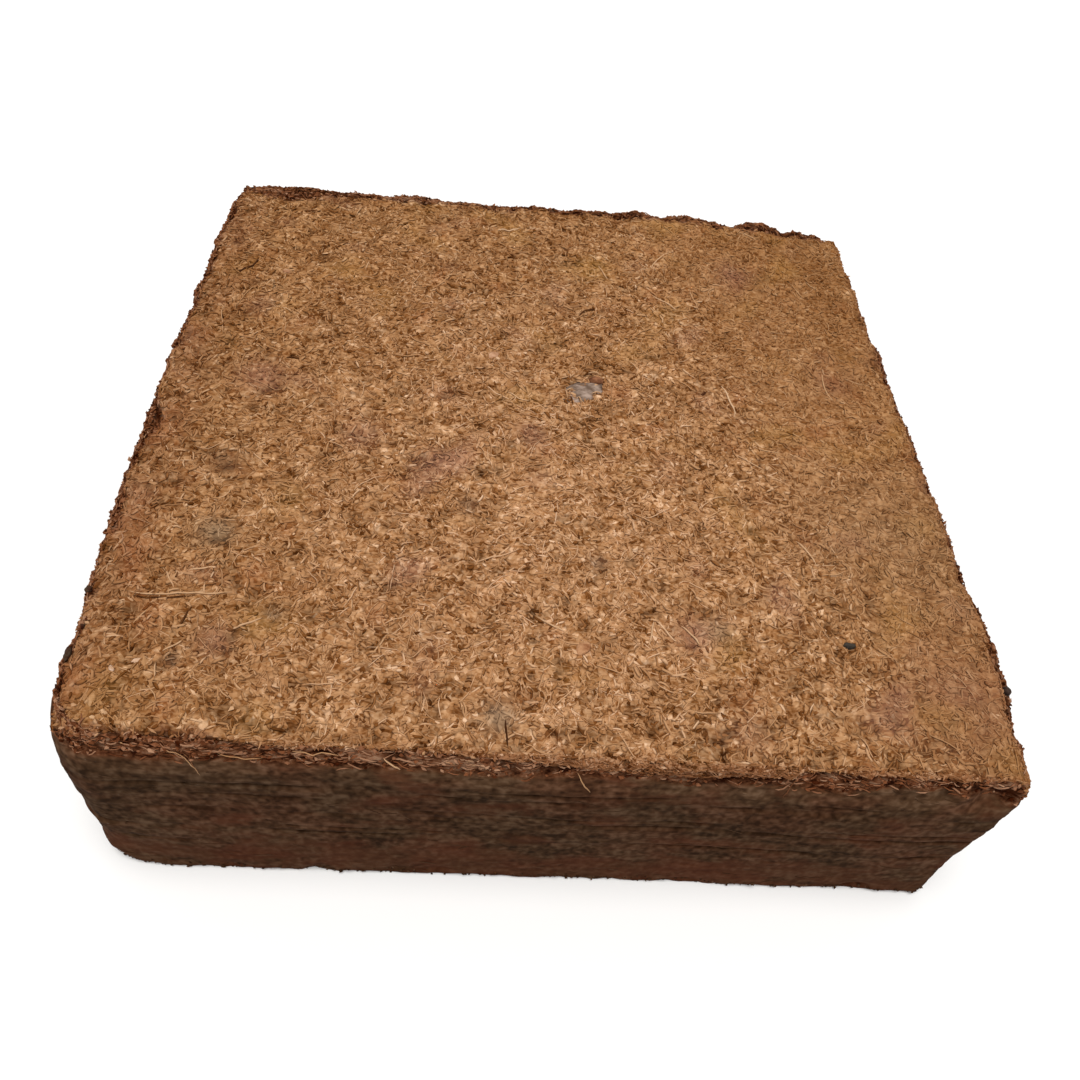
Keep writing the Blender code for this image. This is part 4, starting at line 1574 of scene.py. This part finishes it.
# %% Single fibres
# On the top: x and y of both ends, turn, radius and tint; a tint near 0 is a stroke of painted shade.
TOP_STRANDS_AND_SHADE_STROKES = (
    (-0.1400, -0.0972, -0.1035, -0.0966, 0.60, 0.00034, 0.80),
    (-0.1385, -0.0988, -0.1150, -0.0992, 0.50, 0.00030, 0.04),
    (-0.1320, -0.1135, -0.1255, -0.1059, -0.2, 0.00028, 0.75),
    (-0.1204, -0.0895, -0.1118, -0.0855, 0.2, 0.00034, 0.85),
    (-0.1204, -0.1219, -0.1150, -0.1160, 0.3, 0.00030, 0.80),
    (-0.1037, -0.1123, -0.0935, -0.1066, 0.4, 0.00036, 0.82),
    (-0.1176, -0.1136, -0.1154, -0.1047, 0.3, 0.00034, 0.02),
    (-0.1272, -0.0876, -0.1239, -0.0963, 0.1, 0.00030, 0.80),
    (0.0727, 0.0271, 0.0779, 0.0090, -0.25, 0.00040, 0.97),
    (0.0470, 0.0869, 0.0600, 0.0715, 0.3, 0.00034, 0.85),
    (0.0499, 0.0991, 0.0618, 0.1175, -1.3, 0.00032, 0.82),
    (0.0244, 0.1047, 0.0272, 0.0940, 0.4, 0.00034, 0.82),
    (0.0667, 0.0946, 0.0749, 0.0797, 0.5, 0.00030, 0.75),
    (0.0131, 0.0632, 0.0214, 0.0687, -0.5, 0.00040, 0.02),
    (-0.1163, 0.1275, -0.1081, 0.1290, 0.3, 0.00044, 0.02),
    (-0.0247, 0.1240, -0.0136, 0.1295, 0.3, 0.00038, 0.97),
    (-0.1384, 0.0714, -0.1248, 0.0811, 0.7, 0.00040, 0.02),
    (-0.1068, 0.0200, -0.1001, 0.0203, 0.3, 0.00040, 0.02),
    (-0.0061, -0.0977, 0.0040, -0.1069, 0.3, 0.00030, 0.82),
    (-0.0581, -0.1188, -0.0537, -0.1094, 0.1, 0.00030, 0.80),
    (-0.0150, -0.1370, -0.0143, -0.1457, 0.2, 0.00034, 0.05),
    (0.0342, -0.0974, 0.0395, -0.1063, 0.2, 0.00034, 0.85),
    (0.0342, -0.0974, 0.0303, -0.1080, -0.2, 0.00032, 0.82),
    (0.0420, -0.0985, 0.0503, -0.1063, -0.4, 0.00032, 0.82),
    (0.1208, 0.0411, 0.1253, 0.0221, 0.6, 0.00034, 0.80),
    (0.0900, -0.0560, 0.0960, -0.0700, 0.2, 0.00034, 0.85),
)
# The same, across the grey chip.
CHIP_STRANDS = (
    (0.0064, 0.0126, 0.0070, 0.0082, 0.3, 0.00026, 0.80),
    (0.0086, 0.0096, 0.0092, 0.0050, 0.3, 0.00026, 0.12),
    (0.0118, 0.0100, 0.0125, 0.0056, 0.3, 0.00024, 0.80),
    (0.0062, 0.0118, 0.0104, 0.0140, 0.4, 0.00024, 0.85),
    (0.0165, 0.0120, 0.0215, 0.0140, 0.3, 0.00026, 0.75),
    (0.0140, 0.0236, 0.0182, 0.0240, 0.1, 0.00026, 0.06),
    (0.0152, 0.0252, 0.0218, 0.0250, 0.2, 0.00028, 0.85),
)
# Over the front: x and height of both ends, turn, radius and tint.
HANGING_STRANDS = (
    (-0.0508, 0.0875, -0.0459, 0.0822, 0.3, 0.00026, 0.90),
    (0.0065, 0.0862, 0.0144, 0.0767, -0.4, 0.00020, 0.75),
    (-0.1180, 0.0880, -0.1056, 0.0715, -1.4, 0.00013, 0.74),
    (-0.0790, 0.0890, -0.0640, 0.0860, 0.5, 0.00016, 0.68),
    (-0.1000, 0.0850, -0.0860, 0.0835, 0.4, 0.00016, 0.66),
)


def single_strands(name, seed, strands, hangs, rise):
    """Fibres from one end to the other, on the top, or on the front where hangs is true.

    The way down over the top edge is -y - half the width on the top, and the height less z on the front.
    """
    x, level, end_x, end_level, turn, radius, tint = np.array(strands).T
    down, end_down = (HEIGHT - level, HEIGHT - end_level) if hangs else (-level - HALF, -end_level - HALF)
    chord = np.hypot(end_x - x, end_down - down)
    length = chord * (abs(turn) / 2) / np.sin(abs(turn) / 2)
    shape = {
        "length": length,
        "heading": np.arctan2(down - end_down, end_x - x),
        "turn": turn,
        "radius": radius,
        "rise": np.full(len(x), rise),
        "end_rise": np.zeros(len(x)),
    }
    side = np.zeros(len(x), int)
    fibres(name, strand_matter, seed, side, x, down, shape, tint, stations=14, sides=6, wobble=0.05)


strand_matter = loose_finish("strand_matter", FIBRE_STOPS, 0.80, 0.12, 0.35)
single_strands("top_strands_and_shade_strokes", 241, TOP_STRANDS_AND_SHADE_STROKES, hangs=False, rise=0.0004)
single_strands("hanging_strands", 243, HANGING_STRANDS, hangs=True, rise=0.0010)
single_strands("chip_strands", 245, CHIP_STRANDS, hangs=False, rise=0.0013)

# %% [markdown]
# ## Chips and flecks
#
# Husk, shell and stone got into the heap too. The largest bit is a grey chip near the middle with a rusty
# end, and there are pale flecks, a black seed, and dark lumps that cling to the edges. Each is a ball
# worked out from two angles, squashed to three half sizes, its radius wandered by noise, and sunk a
# little into the pith.

# %% Single chips
# Darker and lighter colour of each kind.
GREY_CHIP = ((0.130, 0.081, 0.055), (0.400, 0.292, 0.232))
RUSTY_CHIP = ((0.100, 0.034, 0.014), (0.290, 0.120, 0.055))
WHITE_FLECK = ((0.50, 0.30, 0.18), (0.86, 0.68, 0.56))
STRAW_FLECK = ((0.42, 0.25, 0.14), (0.64, 0.42, 0.28))
PINK_FLECK = ((0.33, 0.155, 0.075), (0.58, 0.34, 0.21))
ORANGE_LUMP = ((0.26, 0.10, 0.04), (0.50, 0.26, 0.13))
BLACK_SEED = ((0.015, 0.012, 0.010), (0.05, 0.04, 0.03))
DARK_LUMP = (RIM_DARK, (0.07, 0.05, 0.03))
BLACK_LUMP = ((0.025, 0.012, 0.010), SOOT)
# Place on the cube, half length, half width and half thickness, turn, and the two colours.
CHIPS = {
    "grey_chip": ((0.0139, 0.0134, 0.094), (0.0104, 0.0050, 0.0012), 0.60, GREY_CHIP),
    "rusty_chip": ((0.0196, 0.0204, 0.094), (0.0030, 0.0022, 0.0018), -0.10, RUSTY_CHIP),
    "white_fleck": ((-0.1330, -0.1280, 0.094), (0.0012, 0.0007, 0.0008), 2.2, WHITE_FLECK),
    "straw_fleck": ((-0.1268, -0.1244, 0.094), (0.0015, 0.0008, 0.0007), 0.4, STRAW_FLECK),
    "pink_fleck": ((-0.1150, 0.0766, 0.094), (0.0017, 0.0014, 0.0008), 0.0, PINK_FLECK),
    "pink_lump": ((-0.0229, 0.0328, 0.094), (0.0026, 0.0020, 0.0010), 1.1, PINK_FLECK),
    "orange_lump": ((0.0095, -0.1112, 0.094), (0.0028, 0.0018, 0.0011), 0.8, ORANGE_LUMP),
    "black_seed": ((0.1006, -0.1037, 0.094), (0.0022, 0.0012, 0.0010), 0.1, BLACK_SEED),
    "left_lump_front": ((-0.153, -0.1222, 0.0905), (0.0026, 0.0010, 0.0010), 1.57, DARK_LUMP),
    "left_lump_middle": ((-0.153, -0.1120, 0.0905), (0.0010, 0.0008, 0.0008), 0.7, DARK_LUMP),
    "left_lump_back": ((-0.153, -0.0980, 0.0905), (0.0013, 0.0011, 0.0011), 0.2, DARK_LUMP),
    "right_lump_front": ((0.153, -0.1180, 0.0930), (0.0019, 0.0016, 0.0014), 0.5, BLACK_LUMP),
    "right_lump_back": ((0.153, 0.0589, 0.0930), (0.0018, 0.0013, 0.0012), 1.2, BLACK_LUMP),
}
CHIP_SIDES, CHIP_RINGS = 26, 13
CHIP_SINK, CHIP_MARGIN = 0.48, 0.02
SLOW_DENTS, QUICK_DENTS = 0.28, 0.17


def chip_finish(name, dark, light):
    """Two colours mottled together, with a rough grain."""
    finish = Finish(name, roughness=0.85, shine=0.15)
    place = finish.place()
    cloud = finish.cloud(finish.turned(place, (0.0, 0.0, -0.6), (0.6, 1.0, 1.0)), 380.0, 3.0, 0.6)
    colour = finish.shades(cloud, ((0.36, dark), (0.62, light)))
    return finish.wear(colour, finish.bump(finish.cloud(place, 1500.0, 2.0, 0.6), 0.5, 0.0004))


def chip(name, seed, place, half, turn, dark, light):
    """A squashed ball: half*(cos v cos u, cos v sin u, sin v), times 1 + slow and quick noise."""
    spot, out, _ = skin(np.array([place]))
    spot, up = spot[0], out[0]
    first = unit(np.cross(np.cross(up, (math.cos(turn), math.sin(turn), 0.0)), up))
    second = np.cross(first, up)
    v = np.linspace(-np.pi / 2, np.pi / 2, CHIP_RINGS + 2)[1:-1]
    u = 2 * np.pi * np.arange(CHIP_SIDES) / CHIP_SIDES
    round_u, level = np.outer(np.cos(v), np.cos(u)), np.outer(np.sin(v), 0 * u + 1)
    ring = np.stack([round_u, np.outer(np.cos(v), np.sin(u)), level], axis=-1)
    local = np.concatenate([[[0, 0, -1]], ring.reshape(-1, 3), [[0, 0, 1]]])
    wander = 1 + SLOW_DENTS * noise(local, 0.9, seed) + QUICK_DENTS * noise(local, 0.35, seed + 1)
    local = local * wander[:, None] * half
    points = spot + up * half[2] * (1 - 2 * CHIP_SINK) + local @ np.stack([first, second, up])
    faces, flat = tube_faces(CHIP_SIDES, CHIP_RINGS)
    assert volume(points, faces) > 0
    flat = CHIP_MARGIN + (1 - 2 * CHIP_MARGIN) * flat
    bale_piece(name, points, faces, chip_finish(name, dark, light), flat_map=flat)


for k, (name, (place, half, turn, colours)) in enumerate(CHIPS.items()):
    chip(name, 251 + 2 * k, place, np.array(half), turn, *colours)

# %% [markdown]
# ## Floor, light and camera
#
# The camera looks down from close by, a little tilted. Its place, turn and lens were worked out from the
# straight edges of the bale. One wide soft lamp shines from high above, so that the top is bright and the
# walls stay dark, and a pale room fills the shadows.

# %% Stage
FLOOR_SIZE = 14.0
FLOOR_DROP = 0.0001
ROOM_LIGHT = 0.42


def flat_floor():
    """A white square just below the bale, with a hint of unevenness in its tone."""
    finish = Finish("white_floor", roughness=0.9, shine=0.1)
    shade = finish.cloud(finish.place(), 3.0, 1.0)
    finish.wear(finish.dim((0.90, 0.90, 0.90), shade.step(0.0, 1.0, 0.99, 1.0)))
    u, v = np.meshgrid([-0.5, 0.5], [-0.5, 0.5])
    points = np.stack([u.ravel() * FLOOR_SIZE, v.ravel() * FLOOR_SIZE, np.full(4, -FLOOR_DROP)], axis=1)
    mesh = bpy.data.meshes.new("floor")
    mesh.from_pydata(points.tolist(), [], [(0, 1, 3, 2)])
    mesh.materials.append(finish.material)
    floor = bpy.data.objects.new("floor", mesh)
    bpy.context.scene.collection.objects.link(floor)


flat_floor()


def placed_matrix(columns, place):
    """A matrix with three direction columns and a place."""
    rows = [(*row, spot) for row, spot in zip(np.stack(columns, axis=1), place)]
    return Matrix([*rows, (0, 0, 0, 1)])


def soft_sun(name, place, power, colour, spread):
    """A distant lamp that shines from the direction of place, as wide in the sky as spread."""
    data = bpy.data.lights.new(name, "SUN")
    data.energy, data.color, data.angle = power, colour, math.radians(spread)
    lamp = bpy.data.objects.new(name, data)
    away = unit(np.array(place, float))
    right = unit(np.cross((0, 1, 0), away))
    lamp.matrix_world = placed_matrix((right, np.cross(away, right), away), place)
    bpy.context.scene.collection.objects.link(lamp)


soft_sun("high_lamp", place=(-0.05, -0.16, 1.0), power=2.75, colour=(1.0, 0.985, 0.96), spread=34.0)

world = bpy.data.worlds.new("pale_room")
world.use_nodes = True
background = world.node_tree.nodes["Background"]
background.inputs["Color"].default_value = (1.0, 1.0, 1.0, 1.0)
background.inputs["Strength"].default_value = ROOM_LIGHT
bpy.context.scene.world = world
bpy.context.scene.view_settings.view_transform = "Standard"
bpy.context.scene.view_settings.look = "None"

# %% Camera
CAMERA_PLACE = (-0.0344, -0.2794, 0.3444)
PITCH, YAW, ROLL = math.radians(49.57), math.radians(8.09), math.radians(10.09)
PICTURE_SIDE = 1080
FOCAL_LENGTH = 941.3
SENSOR = 36.0


def photo_camera():
    """A camera that looks down by the pitch, turned right by the yaw and tilted by the roll."""
    level = math.cos(PITCH)
    forward = np.array([math.sin(YAW) * level, math.cos(YAW) * level, -math.sin(PITCH)])
    right = np.cross(forward, (0, 0, 1))
    right /= np.linalg.norm(right)
    up = np.cross(right, forward)
    across = right * math.cos(ROLL) + up * math.sin(ROLL)
    above = up * math.cos(ROLL) - right * math.sin(ROLL)
    data = bpy.data.cameras.new("photo_camera")
    data.sensor_width = SENSOR
    data.lens = FOCAL_LENGTH / PICTURE_SIDE * SENSOR
    data.clip_start = 0.01
    camera = bpy.data.objects.new("photo_camera", data)
    camera.matrix_world = placed_matrix((across, above, -forward), CAMERA_PLACE)
    bpy.context.scene.collection.objects.link(camera)
    bpy.context.scene.camera = camera


photo_camera()

# %% Triangles in all
print("triangles in all:", sum(tally.values()))
